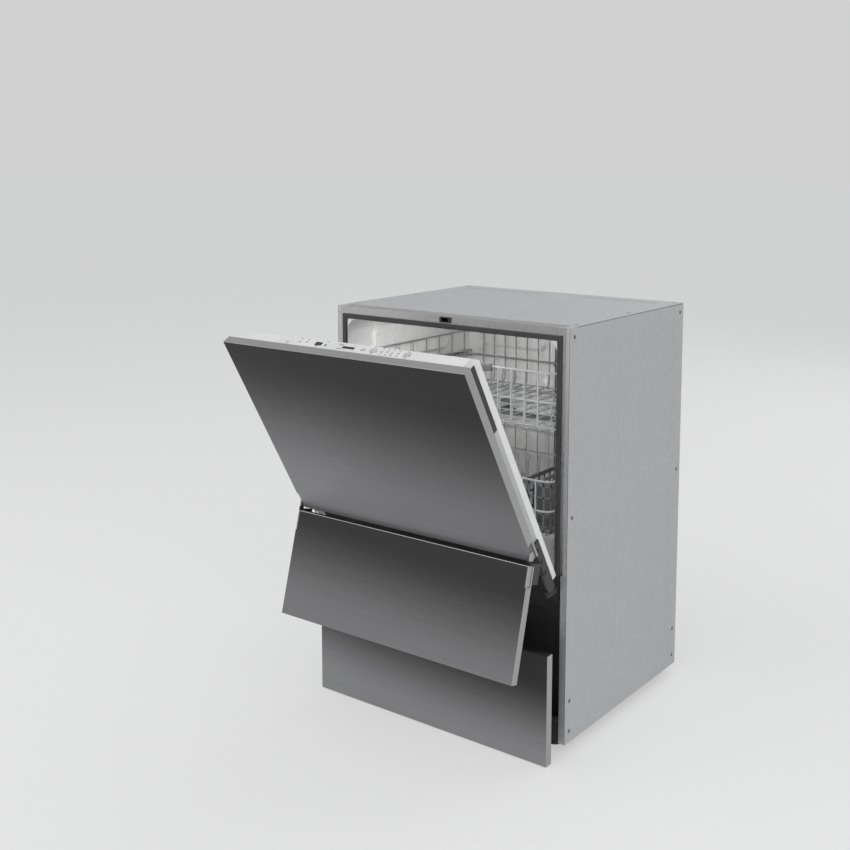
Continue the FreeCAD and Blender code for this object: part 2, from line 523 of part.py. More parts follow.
# Upper rack. Its side grilles carry runners in the channels on the tub walls, and its floor the spray bush.
CHANNEL_X = ("tub_half - channel_depth", "tub_half")
CHANNEL_HIGH = "channel_low + channel_height"
channels = []
for side, name in ((-1, "channel_left"), (1, "channel_right")):
    groove_x = mirrored(side, "tub_half - channel_depth - 1", "tub_half - channel_wall")
    channel_y = ("channel_front", "channel_front + channel_length")
    channels.append(cut(name,
                        box(name + "_bar", *mirrored(side, *CHANNEL_X), *channel_y, "channel_low", CHANNEL_HIGH),
                        box(name + "_groove", *groove_x, "channel_front - 1", "channel_front + channel_length + 1",
                            "channel_low + channel_lip", CHANNEL_HIGH + " - channel_lip")))
node("upper_rails", "cabinet", *channels)

upper = Rack("upper_rack", "upper_clear", "upper_front", "upper_floor", "upper_rim")
bush = cut("spray_bush",
           rod("bush_ring", "z", "bush_radius", "6 * wire_radius", "0", "spray_centre", "upper_floor - 2 * wire_radius"),
           rod("bush_bore", "z", "upper_pin_radius + running_gap", "12 * wire_radius", "0", "spray_centre",
               "upper_floor - 4 * wire_radius"))
wires("upper_rack_floor", "cabinet", upper.floor_mat(), bush)
wires("upper_rack_front", "cabinet", upper.end_grille(upper.front, -1))
wires("upper_rack_back", "cabinet", upper.end_grille(upper.back, 1))
for side, name in ((-1, "upper_rack_left"), (1, "upper_rack_right")):
    runner_x = mirrored(side, "upper_half + wire_step + wire_radius + wire_gap",
                        "tub_half - channel_wall - runner_gap")
    runner = box(name + "_runner", *runner_x, "upper_front + runner_inset", "rack_back - runner_inset",
                 "channel_low + channel_lip + runner_gap", CHANNEL_HIGH + " - channel_lip - runner_gap")
    wires(name, "cabinet", upper.side_grille(side), runner)

# Lower rack on four wheels, which turn on axles held by hangers on the side grilles
lower = Rack("lower_rack", "lower_clear", "lower_front", "lower_floor", "lower_rim")
WHEEL_LEVEL = "tub_floor_top + wheel_radius + edge_gap"
HANGER_NEAR = "lower_half + wire_step + wire_radius + wire_gap"
WHEEL_NEAR = HANGER_NEAR + " + hanger_thick + 4 * edge_gap"
WHEEL_PLACES = {"lower_wheels_front": "wheel_front_at", "lower_wheels_rear": "wheel_rear_at"}
wires("lower_rack_floor", "cabinet", lower.floor_mat())
wires("lower_rack_front", "cabinet", lower.end_grille(lower.front, -1))
wires("lower_rack_back", "cabinet", lower.end_grille(lower.back, 1))
for side, name in ((-1, "lower_rack_left"), (1, "lower_rack_right")):
    hangers = []
    for label, at in WHEEL_PLACES.items():
        axle_long = "hanger_thick + 4 * edge_gap + wheel_width"
        axle_x = HANGER_NEAR if side > 0 else "-(%s + %s)" % (HANGER_NEAR, axle_long)
        hangers.append(joined(
            "%s_hanger_%s" % (name, label),
            box("%s_plate_%s" % (name, label), *mirrored(side, HANGER_NEAR, HANGER_NEAR + " + hanger_thick"),
                at + " - hanger_width / 2", at + " + hanger_width / 2", WHEEL_LEVEL + " - 2 * axle_radius",
                WHEEL_LEVEL + " + hanger_rise"),
            rod("%s_axle_%s" % (name, label), "x", "axle_radius", axle_long, axle_x, at, WHEEL_LEVEL)))
    wires(name, "cabinet", lower.side_grille(side), *hangers)
for label, at in WHEEL_PLACES.items():
    wheels = []
    for side in (-1, 1):
        wheel_x = mirrored(side, WHEEL_NEAR, WHEEL_NEAR + " + wheel_width")[0]
        name = "%s_%s" % (label, "left" if side < 0 else "right")
        wheels.append(cut(name,
                          rod(name + "_disc", "x", "wheel_radius", "wheel_width", wheel_x, at, WHEEL_LEVEL),
                          rod(name + "_bore", "x", "axle_radius + running_gap", "wheel_width + 2",
                              wheel_x + " - 1", at, WHEEL_LEVEL)))
    node(label, "cabinet", *wheels)

# One row of plate tines folds about its own rod, which lies on the floor mat's long wires
tine_level = lower.cross_level
tine_first = size("tine_clear") - lower.half
tine_limit = lower.half - size("basket_clear") - size("basket_width") - size("tine_basket_gap")
tine_count = int((tine_limit - tine_first) / size("tine_pitch")) + 1
tine_places = [tine_first + i * size("tine_pitch") for i in range(tine_count)]
row_y = size("tine_row_at")
tine_row = [wire(lower.thin, (tine_places[0] - 2 * lower.thin, row_y, tine_level),
                 (tine_places[-1] + 2 * lower.thin, row_y, tine_level))]
tine_foot = tine_level + lower.thin + lower.gap
tine_row += [wire(lower.thin, (x, row_y, tine_foot), (x, row_y, tine_foot + size("tine_tall"))) for x in tine_places]
wires("lower_tines", "cabinet", tine_row)

# Cutlery basket, an open moulded box that stands on the floor mat
BASKET_LOW = "lower_floor + 3 * wire_radius + 2 * wire_gap"
node("cutlery_basket", "cabinet", cut(
    "basket_moulding",
    box("basket_block", "basket_left", "basket_left + basket_width", "basket_front", "basket_front + basket_length",
        BASKET_LOW, BASKET_LOW + " + basket_tall"),
    box("basket_hollow", "basket_left + basket_wall", "basket_left + basket_width - basket_wall",
        "basket_front + basket_wall", "basket_front + basket_length - basket_wall", BASKET_LOW + " + basket_wall",
        BASKET_LOW + " + basket_tall + 1")))

# Sump cup under the tub floor with the spindle pipe of the lower spray arm
SUMP_LOW = "tub_floor_top - tub_sheet - sump_tall"
cup = cut("sump_cup",
          rod("sump_outer", "z", "sump_radius", "sump_tall", "0", "spray_centre", SUMP_LOW),
          rod("sump_inner", "z", "sump_radius - sump_wall", "sump_tall", "0", "spray_centre", SUMP_LOW + " + sump_wall"))
node("sump", "cabinet", joined("sump_moulding", cup, rod("spindle_pipe", "z", "spindle_radius",
                                                          "spindle_top - (%s)" % SUMP_LOW, "0", "spray_centre", SUMP_LOW)))

# Circulation pump on the left of the sump, drain pump with its pipe and spigot on the right
node("circulation_pump", "cabinet", rod("pump_can", "x", "pump_radius", "pump_long", "-sump_radius - pump_long",
                                        "spray_centre", "machine_level"))
node("drain_pump", "cabinet", joined(
    "drain_moulding",
    rod("drain_can", "x", "drain_radius", "drain_long", "sump_radius", "spray_centre", "machine_level"),
    rod("drain_pipe", "y", "drain_pipe_radius", "drain_pipe_end - spray_centre", "sump_radius + drain_long / 2",
        "spray_centre", "machine_level"),
    rod("drain_spigot", "y", "spigot_radius", "spigot_long + 1", "sump_radius + drain_long / 2",
        "drain_pipe_end - 1", "machine_level")))

# Water inlet valve on the tray, with a threaded spigot to the rear
node("inlet_valve", "cabinet", joined(
    "valve_moulding",
    box("valve_block", "valve_left", "valve_left + valve_width", "valve_back - valve_long", "valve_back",
        "tray_bottom + tray_wall", "tray_bottom + tray_wall + valve_tall"),
    rod("valve_spigot", "y", "inlet_radius", "inlet_long + 1", "valve_left + valve_width / 2", "valve_back - 1",
        "inlet_level")))

# Feed pipe up the back wall and along the ceiling to a fixed shower head
elbow = doc.addObject("Part::Sphere", "feed_elbow")
bind(elbow, Radius="1.3 * feed_radius", Placement__Base__y="feed_back", Placement__Base__z="feed_level")
node("feed_pipe", "cabinet", joined(
    "feed_moulding",
    elbow,
    rod("feed_riser", "z", "feed_radius", "feed_level - tub_floor_top", "0", "feed_back", "tub_floor_top"),
    rod("feed_run", "y", "feed_radius", "feed_back - spray_centre", "0", "spray_centre", "feed_level"),
    rod("feed_shower", "z", "shower_radius", "shower_tall", "0", "spray_centre",
        "feed_level - shower_tall - feed_radius / 2")))


def spray_arm(label, low, *extra):
    """A flat spray arm with round ends, blank before its hub is added."""
    reach = "spray_reach - spray_width / 2"
    return joined(label + "_blank",
                  box(label + "_bar", "-(%s)" % reach, reach, "spray_centre - spray_width / 2",
                      "spray_centre + spray_width / 2", low, low + " + spray_thick"),
                  rod(label + "_left", "z", "spray_width / 2", "spray_thick", "-(%s)" % reach, "spray_centre", low),
                  rod(label + "_right", "z", "spray_width / 2", "spray_thick", reach, "spray_centre", low), *extra)


# Lower spray arm turns on the spindle pipe, the upper one on a pin in the rack's bush
HUB_LOW = "tub_floor_top + hub_clear"
node("lower_spray_arm", "cabinet", cut(
    "lower_spray",
    spray_arm("lower_spray", "lower_spray_low",
              rod("lower_hub", "z", "hub_radius", "lower_spray_low - (%s) + 1" % HUB_LOW, "0", "spray_centre", HUB_LOW)),
    rod("lower_hub_bore", "z", "spindle_radius + running_gap", "spindle_top + edge_gap - tub_floor_top", "0",
        "spray_centre", "tub_floor_top")))
node("upper_spray_arm", "cabinet", spray_arm(
    "upper_spray", "upper_spray_low",
    rod("upper_hub", "z", "hub_radius", "upper_floor - 2 * wire_radius - edge_gap - upper_spray_low - hub_drop", "0",
        "spray_centre", "upper_spray_low"),
    rod("upper_pin", "z", "upper_pin_radius", "upper_floor + 4 * wire_radius - upper_spray_low", "0", "spray_centre",
        "upper_spray_low")))

# Filter cup in the tub floor, with a knob to twist it
node("filter_cup", "cabinet", joined(
    "filter_moulding",
    rod("filter_body", "z", "filter_radius", "filter_tall", "filter_at", "spray_centre",
        "tub_floor_top + filter_proud - filter_tall"),
    box("filter_knob", "filter_at - filter_radius / 2", "filter_at + filter_radius / 2",
        "spray_centre - filter_proud / 2", "spray_centre + filter_proud / 2", "tub_floor_top + filter_proud - 1",
        "tub_floor_top + 3 * filter_proud")))

doc.recompute()
for piece in doc.Objects:
    if "Invalid" in piece.State or "Error" in piece.State:
        raise RuntimeError("%s did not build: %s" % (piece.Name, piece.State))
os.makedirs("parts", exist_ok=True)
for piece in nodes:
    if piece.Shape.isNull() or not piece.Shape.isValid() or not piece.Shape.Solids:
        raise RuntimeError("%s has no valid solid" % piece.Label)
    piece.Shape.exportStep("parts/%s.step" % piece.Label)
print("%d nodes, %d solids" % (len(nodes), sum(len(piece.Shape.Solids) for piece in nodes)))
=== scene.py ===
import bmesh
import bpy
import json
import math
from mathutils import Matrix, Vector


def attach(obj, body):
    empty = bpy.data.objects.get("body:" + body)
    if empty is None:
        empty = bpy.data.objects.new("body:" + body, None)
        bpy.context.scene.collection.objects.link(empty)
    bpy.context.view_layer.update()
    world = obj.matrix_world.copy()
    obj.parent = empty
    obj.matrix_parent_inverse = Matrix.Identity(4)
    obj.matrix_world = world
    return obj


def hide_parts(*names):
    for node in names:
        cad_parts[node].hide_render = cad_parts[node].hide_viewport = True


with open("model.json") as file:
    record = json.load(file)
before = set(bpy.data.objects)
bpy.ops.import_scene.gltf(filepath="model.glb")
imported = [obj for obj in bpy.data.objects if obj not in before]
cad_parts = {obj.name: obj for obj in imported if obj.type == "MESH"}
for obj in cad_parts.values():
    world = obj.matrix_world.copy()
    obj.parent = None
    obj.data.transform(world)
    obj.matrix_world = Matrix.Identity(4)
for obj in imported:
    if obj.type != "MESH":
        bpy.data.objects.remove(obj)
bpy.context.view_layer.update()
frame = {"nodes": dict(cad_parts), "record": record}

# Studio: a plain pale floor under an even pale sky, four large soft lamps, and a small lamp in the tub that
# lights only the tub's own sheets. The camera stands where the photograph was taken, right of the machine
# and a little above it.
scene = bpy.context.scene
scene.view_settings.view_transform = "Standard"


def feed(tree, node, feeds):
    """Gives inputs of a node what they take: a value, or the output of another node."""
    for label, source in feeds.items():
        if isinstance(source, bpy.types.NodeSocket):
            tree.links.new(source, node.inputs[label])
        else:
            node.inputs[label].default_value = source
    return node


def add_node(tree, kind, feeds, **settings):
    """A new shader node with its settings and feeds."""
    node = tree.nodes.new("ShaderNode" + kind)
    for label, value in settings.items():
        setattr(node, label, value)
    return feed(tree, node, feeds)


def seen_share(tree, share):
    """A share of the rays that show the backdrop: camera, glossy and transmission."""
    path = add_node(tree, "LightPath", {})
    seen = path.outputs["Is Camera Ray"]
    for kind in ("Is Glossy Ray", "Is Transmission Ray"):
        seen = add_node(tree, "Math", {0: seen, 1: path.outputs[kind]}, operation="MAXIMUM").outputs[0]
    return add_node(tree, "Math", {0: seen, 1: share}, operation="MULTIPLY").outputs[0]


FLOOR_REACH, FLOOR_GLOW_SHARE, SKY_SEEN_SHARE = 60, 0.46, 1.0
floor_corners = [(x * FLOOR_REACH, y * FLOOR_REACH, 0) for x, y in ((-1, -1), (1, -1), (1, 1), (-1, 1))]
floor_mesh = bpy.data.meshes.new("studio_floor")
floor_mesh.from_pydata(floor_corners, [], [(0, 1, 2, 3)])
floor = bpy.data.objects.new("studio_floor", floor_mesh)
scene.collection.objects.link(floor)
floor_paint = bpy.data.materials.new("studio_floor_paint")
floor_paint.use_nodes = True
floor_tree = floor_paint.node_tree
floor_shader = feed(floor_tree, floor_tree.nodes["Principled BSDF"],
                    {"Base Color": (0.80, 0.80, 0.80, 1), "Roughness": 0.9})
floor_glow = add_node(floor_tree, "Emission", {"Color": (0.97, 0.97, 0.97, 1)})
floor_mix = add_node(floor_tree, "MixShader", {0: seen_share(floor_tree, FLOOR_GLOW_SHARE),
                                               1: floor_shader.outputs[0], 2: floor_glow.outputs[0]})
feed(floor_tree, floor_tree.nodes["Material Output"], {"Surface": floor_mix.outputs[0]})
floor_mesh.materials.append(floor_paint)

sky = bpy.data.worlds.new("studio_sky")
scene.world = sky
sky.use_nodes = True
sky_tree = sky.node_tree
sky_tree.nodes.clear()
sky_light = add_node(sky_tree, "Background", {"Color": (0.95, 0.97, 1.0, 1), "Strength": 0.42})
sky_seen = add_node(sky_tree, "Background", {"Color": (0.635, 0.635, 0.635, 1)})
sky_mix = add_node(sky_tree, "MixShader", {0: seen_share(sky_tree, SKY_SEEN_SHARE),
                                           1: sky_light.outputs[0], 2: sky_seen.outputs[0]})
add_node(sky_tree, "OutputWorld", {"Surface": sky_mix.outputs[0]})


def soft_lamp(name, place, direction, watts, width):
    """A square soft lamp that shines along a direction."""
    data = bpy.data.lights.new(name, "AREA")
    data.size = width
    data.energy = watts
    lamp = bpy.data.objects.new(name, data)
    lamp.location = place
    lamp.rotation_euler = Vector(direction).to_track_quat("-Z", "Y").to_euler()
    scene.collection.objects.link(lamp)
    return lamp


for lamp_name, lamp_place, lamp_aim, lamp_width, lamp_watts in (
        ("key_lamp", (-2.2, -3.0, 3.1), (0, 0, 0.5), 4.0, 58),
        ("fill_lamp", (3.2, -1.4, 2.4), (0, 0, 0.5), 3.2, 30),
        ("front_lamp", (2.1, -3.8, 2.5), (0, 0, 0.5), 3.4, 48),
        ("back_lamp", (0.9, 3.6, 3.0), (0, 0, 0.6), 4.0, 38)):
    soft_lamp(lamp_name, lamp_place, Vector(lamp_aim) - Vector(lamp_place), lamp_watts, lamp_width)
TUB_LAMP_PLACE, TUB_LAMP_AIM = (0, -0.05, 0.838), (0, 0.62, -0.60)
TUB_LAMP_WATTS, TUB_LAMP_WIDTH, TUB_LAMP_DEPTH = 1.7, 0.26, 0.06
tub_lamp = soft_lamp("tub_lamp", TUB_LAMP_PLACE, TUB_LAMP_AIM, TUB_LAMP_WATTS, TUB_LAMP_WIDTH)
tub_lamp.data.shape = "RECTANGLE"
tub_lamp.data.size_y = TUB_LAMP_DEPTH
tub_lamp.visible_camera = tub_lamp.visible_glossy = False
tub_lit = bpy.data.collections.new("tub_lit")
tub_lamp.light_linking.receiver_collection = tub_lit

CAMERA_DIP, CAMERA_TURN = 6.79, 37.36
camera_data = bpy.data.cameras.new("photo_camera")
camera_data.sensor_width = 36
camera_data.lens = 50.37
camera_data.shift_y = -0.15
camera = bpy.data.objects.new("photo_camera", camera_data)
camera.location = (1.455, -2.054, 1.202)
camera.rotation_euler = (math.radians(90 - CAMERA_DIP), 0, math.radians(CAMERA_TURN))
scene.collection.objects.link(camera)
scene.camera = camera

# Casing: side panels, rear panel, top cover and front rail of galvanised sheet, stiffened by shallow
# pressed fields and screwed together. Pieces are drawn in millimetres with the door shut, x across, y back
# from the fronts and z up, and are then carried to the rest pose.
FRONT_PLANE = -0.144
DOOR_PIVOT, DOOR_OPEN = (25, 350), 30
SWING_PIVOT, SWING_FOLD = (4.5, 483), -45
SIDES = (-1, 1)


def turn_about(pivot, degrees):
    """A turn about a line along x, through a point given as y and z."""
    centre = Matrix.Translation((0, *pivot))
    return centre @ Matrix.Rotation(math.radians(degrees), 4, "X") @ centre.inverted()


CABINET = Matrix.Translation((0, FRONT_PLANE, 0)) @ Matrix.Scale(0.001, 4)
DOOR = CABINET @ turn_about(DOOR_PIVOT, DOOR_OPEN)
SWING = DOOR @ turn_about(SWING_PIVOT, SWING_FOLD)
STANDS = {"door": DOOR, "detergent_lid": DOOR, "swing_panel": SWING}


def group_frame(name, inputs, outputs):
    """An empty shader node group with a vector input, further named inputs and value outputs."""
    tree = bpy.data.node_groups.new(name, "ShaderNodeTree")
    tree.interface.new_socket(name="Vector", in_out="INPUT", socket_type="NodeSocketVector")
    for label, kind, default in inputs:
        socket = tree.interface.new_socket(name=label, in_out="INPUT", socket_type=kind)
        socket.default_value = default
    for label in outputs:
        tree.interface.new_socket(name=label, in_out="OUTPUT", socket_type="NodeSocketFloat")
    return tree, tree.nodes.new("NodeGroupInput").outputs, tree.nodes.new("NodeGroupOutput")


def noise_on(tree, vector, scale, detail=2.0):
    """A noise over a vector."""
    return add_node(tree, "TexNoise", {"Vector": vector, "Scale": scale, "Detail": detail}).outputs["Fac"]


def spread_tone(tree, value, low, high, dark, light, **settings):
    """Maps a value range to a tone range."""
    feeds = {"Value": value, "From Min": low, "From Max": high, "To Min": dark, "To Max": light}
    return add_node(tree, "MapRange", feeds, **settings).outputs["Result"]


def mixed_colour(tree, factor, dark, light):
    """A colour between a dark and a light one."""
    feeds = {"Factor": factor, "A": (*dark, 1), "B": (*light, 1)}
    return add_node(tree, "Mix", feeds, data_type="RGBA").outputs["Result"]


def bump_from(tree, height, strength, distance):
    """A surface relief from a height."""
    feeds = {"Height": height, "Strength": strength, "Distance": distance}
    return add_node(tree, "Bump", feeds).outputs["Normal"]


def add_group(tree, group, vector, **values):
    """Places a shared node group in a material's tree, with its own values."""
    feeds = {label.replace("_", " "): value for label, value in values.items()}
    return add_node(tree, "Group", {"Vector": vector, **feeds}, node_tree=group).outputs


def new_finish(name):
    """A new material with its node tree and the coordinates of the piece."""
    material = bpy.data.materials.new(name)
    material.use_nodes = True
    return material, material.node_tree, add_node(material.node_tree, "TexCoord", {}).outputs["Object"]


def patterned(name, group, outputs, dark, light, rough, relief, metal=0.0, **values):
    """A finish whose colour, gloss and relief follow three outputs of a shared group."""
    material, tree, vector = new_finish(name)
    pattern = add_group(tree, group, vector, **values)
    tone, gloss, height = (pattern[label] for label in outputs)
    feed(tree, tree.nodes["Principled BSDF"], {
        "Metallic": metal, "Base Color": mixed_colour(tree, tone, dark, light),
        "Roughness": spread_tone(tree, gloss, 0, 1, *rough), "Normal": bump_from(tree, height, *relief)})
    return material


ROLLING_GRAIN = 900.0
spangle, spangle_in, spangle_out = group_frame(
    "zinc_spangle", [("Crystal Scale", "NodeSocketFloat", 90.0)], ("Tone", "Grain"))
cells = add_node(spangle, "TexVoronoi",
                 {"Vector": spangle_in["Vector"], "Scale": spangle_in["Crystal Scale"]})
cell_tone = add_node(spangle, "SeparateColor", {"Color": cells.outputs["Color"]})
feed(spangle, spangle_out, {"Tone": cell_tone.outputs["Red"],
                            "Grain": noise_on(spangle, spangle_in["Vector"], ROLLING_GRAIN)})


def zinc_sheet(name, dark, light, crystal, rough=(0.40, 0.47)):
    """Hot-dip zinc: crystal patches, each with its own tone and gloss, under a fine rolling grain."""
    return patterned(name, spangle, ("Tone", "Tone", "Grain"), dark, light, rough, (0.12, 0.0004), 0.85,
                     Crystal_Scale=crystal)


casing_zinc = zinc_sheet("casing_zinc", (0.50, 0.51, 0.52), (0.55, 0.56, 0.57), 160.0, (0.56, 0.64))

nodes = frame["nodes"]
body_of = {node: body for body, members in frame["record"]["behaviour"]["bodies"].items() for node in members}
SHARP_ANGLE = math.radians(50)


def set_piece(name, mesh, body, material, replaced=(), stand=None):
    """Puts a finished mesh into the scene: carried to the rest pose, on its body, in its finish."""
    mesh.name = name
    mesh.transform(STANDS.get(body, CABINET) if stand is None else stand)
    for polygon in mesh.polygons:
        polygon.use_smooth = True
    mesh.set_sharp_from_angle(angle=SHARP_ANGLE)
    mesh.materials.append(material)
    piece = bpy.data.objects.new(name, mesh)
    scene.collection.objects.link(piece)
    piece.modifiers.new("even_normals", "WEIGHTED_NORMAL").keep_sharp = True
    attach(piece, body)
    if replaced:
        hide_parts(*replaced)
    return piece


def mesh_from(form, outward=True):
    """Turns a form into a mesh, with its faces looking out, and lets the form go."""
    if outward:
        bmesh.ops.recalc_face_normals(form, faces=form.faces)
    mesh = bpy.data.meshes.new("form")
    form.to_mesh(mesh)
    form.free()
    return mesh


def reformed(node, mesh, material, stand=None):
    """A mesh in place of a node, on the node's body and in the given finish."""
    return set_piece(node + "_formed", mesh, body_of[node], material, (node,), stand)


FOLD_ANGLE = math.radians(40)


def formed(node, rounding, material, steps=2):
    """A node with its folded or moulded edges rounded, in place of the sharp one."""
    source = nodes[node].data.copy()
    carried_normals = source.attributes.get("custom_normal")
    if carried_normals:
        source.attributes.remove(carried_normals)
    form = bmesh.new()
    form.from_mesh(source)
    bpy.data.meshes.remove(source)
    bmesh.ops.remove_doubles(form, verts=form.verts, dist=2e-6)
    bmesh.ops.dissolve_limit(form, angle_limit=math.radians(1), verts=form.verts, edges=form.edges)
    folds = [e for e in form.edges if len(e.link_faces) == 2 and e.calc_face_angle(0) > FOLD_ANGLE]
    bmesh.ops.bevel(form, geom=folds, offset=rounding / 1000, segments=steps, profile=0.5, affect="EDGES",
                    clamp_overlap=True)
    return reformed(node, mesh_from(form, False), material, Matrix.Identity(4))


front_zinc = zinc_sheet("front_zinc", (0.34, 0.345, 0.35), (0.38, 0.385, 0.39), 200.0)
formed("top_front_rail", 0.5, front_zinc)


def rounded_corners(u0, u1, v0, v1, radius, steps=6):
    """The four corner arcs of a rounded rectangle, going round."""
    corners = ((u0 + radius, v0 + radius, 180), (u1 - radius, v0 + radius, 270),
               (u1 - radius, v1 - radius, 0), (u0 + radius, v1 - radius, 90))
    return [[(u + radius * math.cos(a), v + radius * math.sin(a))
             for a in (math.radians(first + 90 * k / steps) for k in range(steps + 1))]
            for u, v, first in corners]


def bridge(form, loops):
    """Joins closed loops of points, each to the next one, with a band of faces."""
    for outer, inner in zip(loops, loops[1:]):
        for k in range(len(outer)):
            n = (k + 1) % len(outer)
            form.faces.new((outer[k], outer[n], inner[n], inner[k]))


def pressed_sheet(u_lines, v_lines, pressed, rings, thickness, place):
    """A sheet laid out in cells. Pressed cells have a rounded field, whose edge follows the rings of
    inset, corner radius and depth. place turns sheet measures and depth into a point."""
    form = bmesh.new()
    back = {}

    def point(u, v, depth):
        vertex = form.verts.new(place(u, v, depth))
        back[vertex] = (u, v, depth + thickness)
        return vertex

    grid = [[point(u, v, 0) for v in v_lines] for u in u_lines]
    for i in range(len(u_lines) - 1):
        for j in range(len(v_lines) - 1):
            corners = [grid[i][j], grid[i + 1][j], grid[i + 1][j + 1], grid[i][j + 1]]
            if (i, j) not in pressed:
                form.faces.new(corners)
                continue
            loops = []
            for inset, radius, depth in rings:
                arcs = rounded_corners(u_lines[i] + inset, u_lines[i + 1] - inset, v_lines[j] + inset,
                                       v_lines[j + 1] - inset, radius)
                loops.append([[point(u, v, depth) for u, v in arc] for arc in arcs])
            for k, arc in enumerate(loops[0]):
                n = (k + 1) % 4
                for a, b in zip(arc, arc[1:]):
                    form.faces.new((corners[k], b, a))
                form.faces.new((corners[k], corners[n], loops[0][n][0], arc[-1]))
            rounds = [sum(loop, []) for loop in loops]
            bridge(form, rounds)
            form.faces.new(rounds[-1])
    fronts = list(form.faces)
    rims = [edge for edge in form.edges if edge.is_boundary]
    behind = {vertex: form.verts.new(place(*spot)) for vertex, spot in list(back.items())}
    for face in fronts:
        form.faces.new([behind[vertex] for vertex in reversed(face.verts)])
    for edge in rims:
        a, b = edge.verts
        form.faces.new((a, b, behind[b], behind[a]))
    return mesh_from(form)


def blocks_mesh(blocks, rounding, steps=2):
    """Several blocks as one mesh, with rounded edges where a rounding is given."""
    form = bmesh.new()
    for x0, x1, y0, y1, z0, z1 in blocks:
        made = bmesh.ops.create_cube(form, size=1.0)["verts"]
        for vertex in made:
            vertex.co = Vector((x0 if vertex.co.x < 0 else x1, y0 if vertex.co.y < 0 else y1,
                                z0 if vertex.co.z < 0 else z1))
        if rounding:
            edges = list({edge for vertex in made for edge in vertex.link_edges})
            bmesh.ops.bevel(form, geom=edges, offset=rounding, segments=steps, profile=0.5, affect="EDGES",
                            clamp_overlap=True)
    return mesh_from(form, False)


def joined_mesh(meshes):
    """Several meshes as one."""
    form = bmesh.new()
    for mesh in meshes:
        form.from_mesh(mesh)
        bpy.data.meshes.remove(mesh)
    return mesh_from(form, False)


def on_side(side, near, far):
    """The lower and upper x of a piece on one side, from its distances to the middle."""
    return min(side * near, side * far), max(side * near, side * far)


CASING_HALF, CASING_FRONT, CASING_BACK, CASING_FOOT, CASING_TOP = 299, 67, 570, 22, 872.2
CASING_SHEET, SEAM, SHEET_TOP = 1.1, 0.1, 870
TURN_IN_NEAR, TURN_IN_FAR, TURN_IN_BACK = 284, 298.8, 68.2
REAR_HALF, REAR_FOOT, COVER_FRONT, SIDE_BACK = 296.8, 372, 97, 568.8
SIDE_MIDDLE, SIDE_LOW_FIELD, SIDE_HIGH_FIELD = 318, 110, 490
casing_outer, casing_rear, casing_roof = CASING_HALF - SEAM, CASING_BACK - SEAM, CASING_TOP - SEAM
caps = [(*on_side(side, 283.5, 298.4), 68, 97.5, 869.6, 871.4) for side in SIDES]
set_piece("top_corner_caps", blocks_mesh(caps, 0.4, 1), "cabinet", casing_zinc)
casing_press = [(30, 44, 0.0), (33, 41, 0.5), (38, 36, 2.1), (41, 33, 2.6)]
side_fields = {(0, 1), (1, 1), (0, 2), (1, 2)}
for side, sheet in zip(SIDES, ("side_panel_left", "side_panel_right")):
    wall = pressed_sheet([CASING_FRONT, SIDE_MIDDLE, SIDE_BACK],
                         [CASING_FOOT, SIDE_LOW_FIELD, SIDE_HIGH_FIELD, SHEET_TOP], side_fields, casing_press,
                         CASING_SHEET, lambda y, z, w, s=side: (s * (casing_outer - w), y, z))
    turn_in = blocks_mesh([(*on_side(side, TURN_IN_NEAR, TURN_IN_FAR), CASING_FRONT, TURN_IN_BACK,
                            CASING_FOOT, SHEET_TOP)], 0.4, 1)
    reformed(sheet, joined_mesh([wall, turn_in]), casing_zinc)
twin_fields = {(0, 0), (1, 0)}
rear_wall = pressed_sheet([-REAR_HALF, 0, REAR_HALF], [REAR_FOOT, SHEET_TOP], twin_fields, casing_press,
                          CASING_SHEET, lambda x, z, w: (x, casing_rear - w, z))
reformed("rear_panel", rear_wall, casing_zinc)
top_sheet = pressed_sheet([-casing_outer, 0, casing_outer], [COVER_FRONT, casing_rear], twin_fields,
                          casing_press, CASING_SHEET, lambda x, y, w: (x, y, casing_roof - w))
reformed("top_cover", top_sheet, casing_zinc)

# Casing screws: turned steel screws with flush heads. Each hexagon socket is a flat near-black plug,
# flush with the head, as painted shade. They hold the rear panel, the side panels and the top cover to one
# another along their edges.
BACK, UP = (0, 1, 0), (0, 0, 1)


def turned(profile, axis, centre, sides=20):
    """A turned form: radius and height pairs spun about an axis through a centre."""
    form = bmesh.new()
    rings = []
    for radius, height in profile:
        if radius < 1e-6:
            rings.append([form.verts.new((0, 0, height))])
            continue
        rings.append([form.verts.new((radius * math.cos(a), radius * math.sin(a), height))
                      for a in (2 * math.pi * i / sides for i in range(sides))])
    for low, high in zip(rings, rings[1:]):
        for i in range(sides):
            n = i + 1
            corners = [low[i % len(low)], low[n % len(low)], high[n % len(high)], high[i % len(high)]]
            unique = [v for k, v in enumerate(corners) if v not in corners[:k]]
            if len(unique) > 2:
                form.faces.new(unique)
    mesh = mesh_from(form)
    mesh.transform(Matrix.Translation(centre) @ Vector(axis).to_track_quat("Z", "Y").to_matrix().to_4x4())
    return mesh


def turned_row(profile, spots, sides=20):
    """Several like turned forms as one mesh, from the axis and the centre of each."""
    return joined_mesh([turned(profile, axis, centre, sides) for axis, centre in spots])


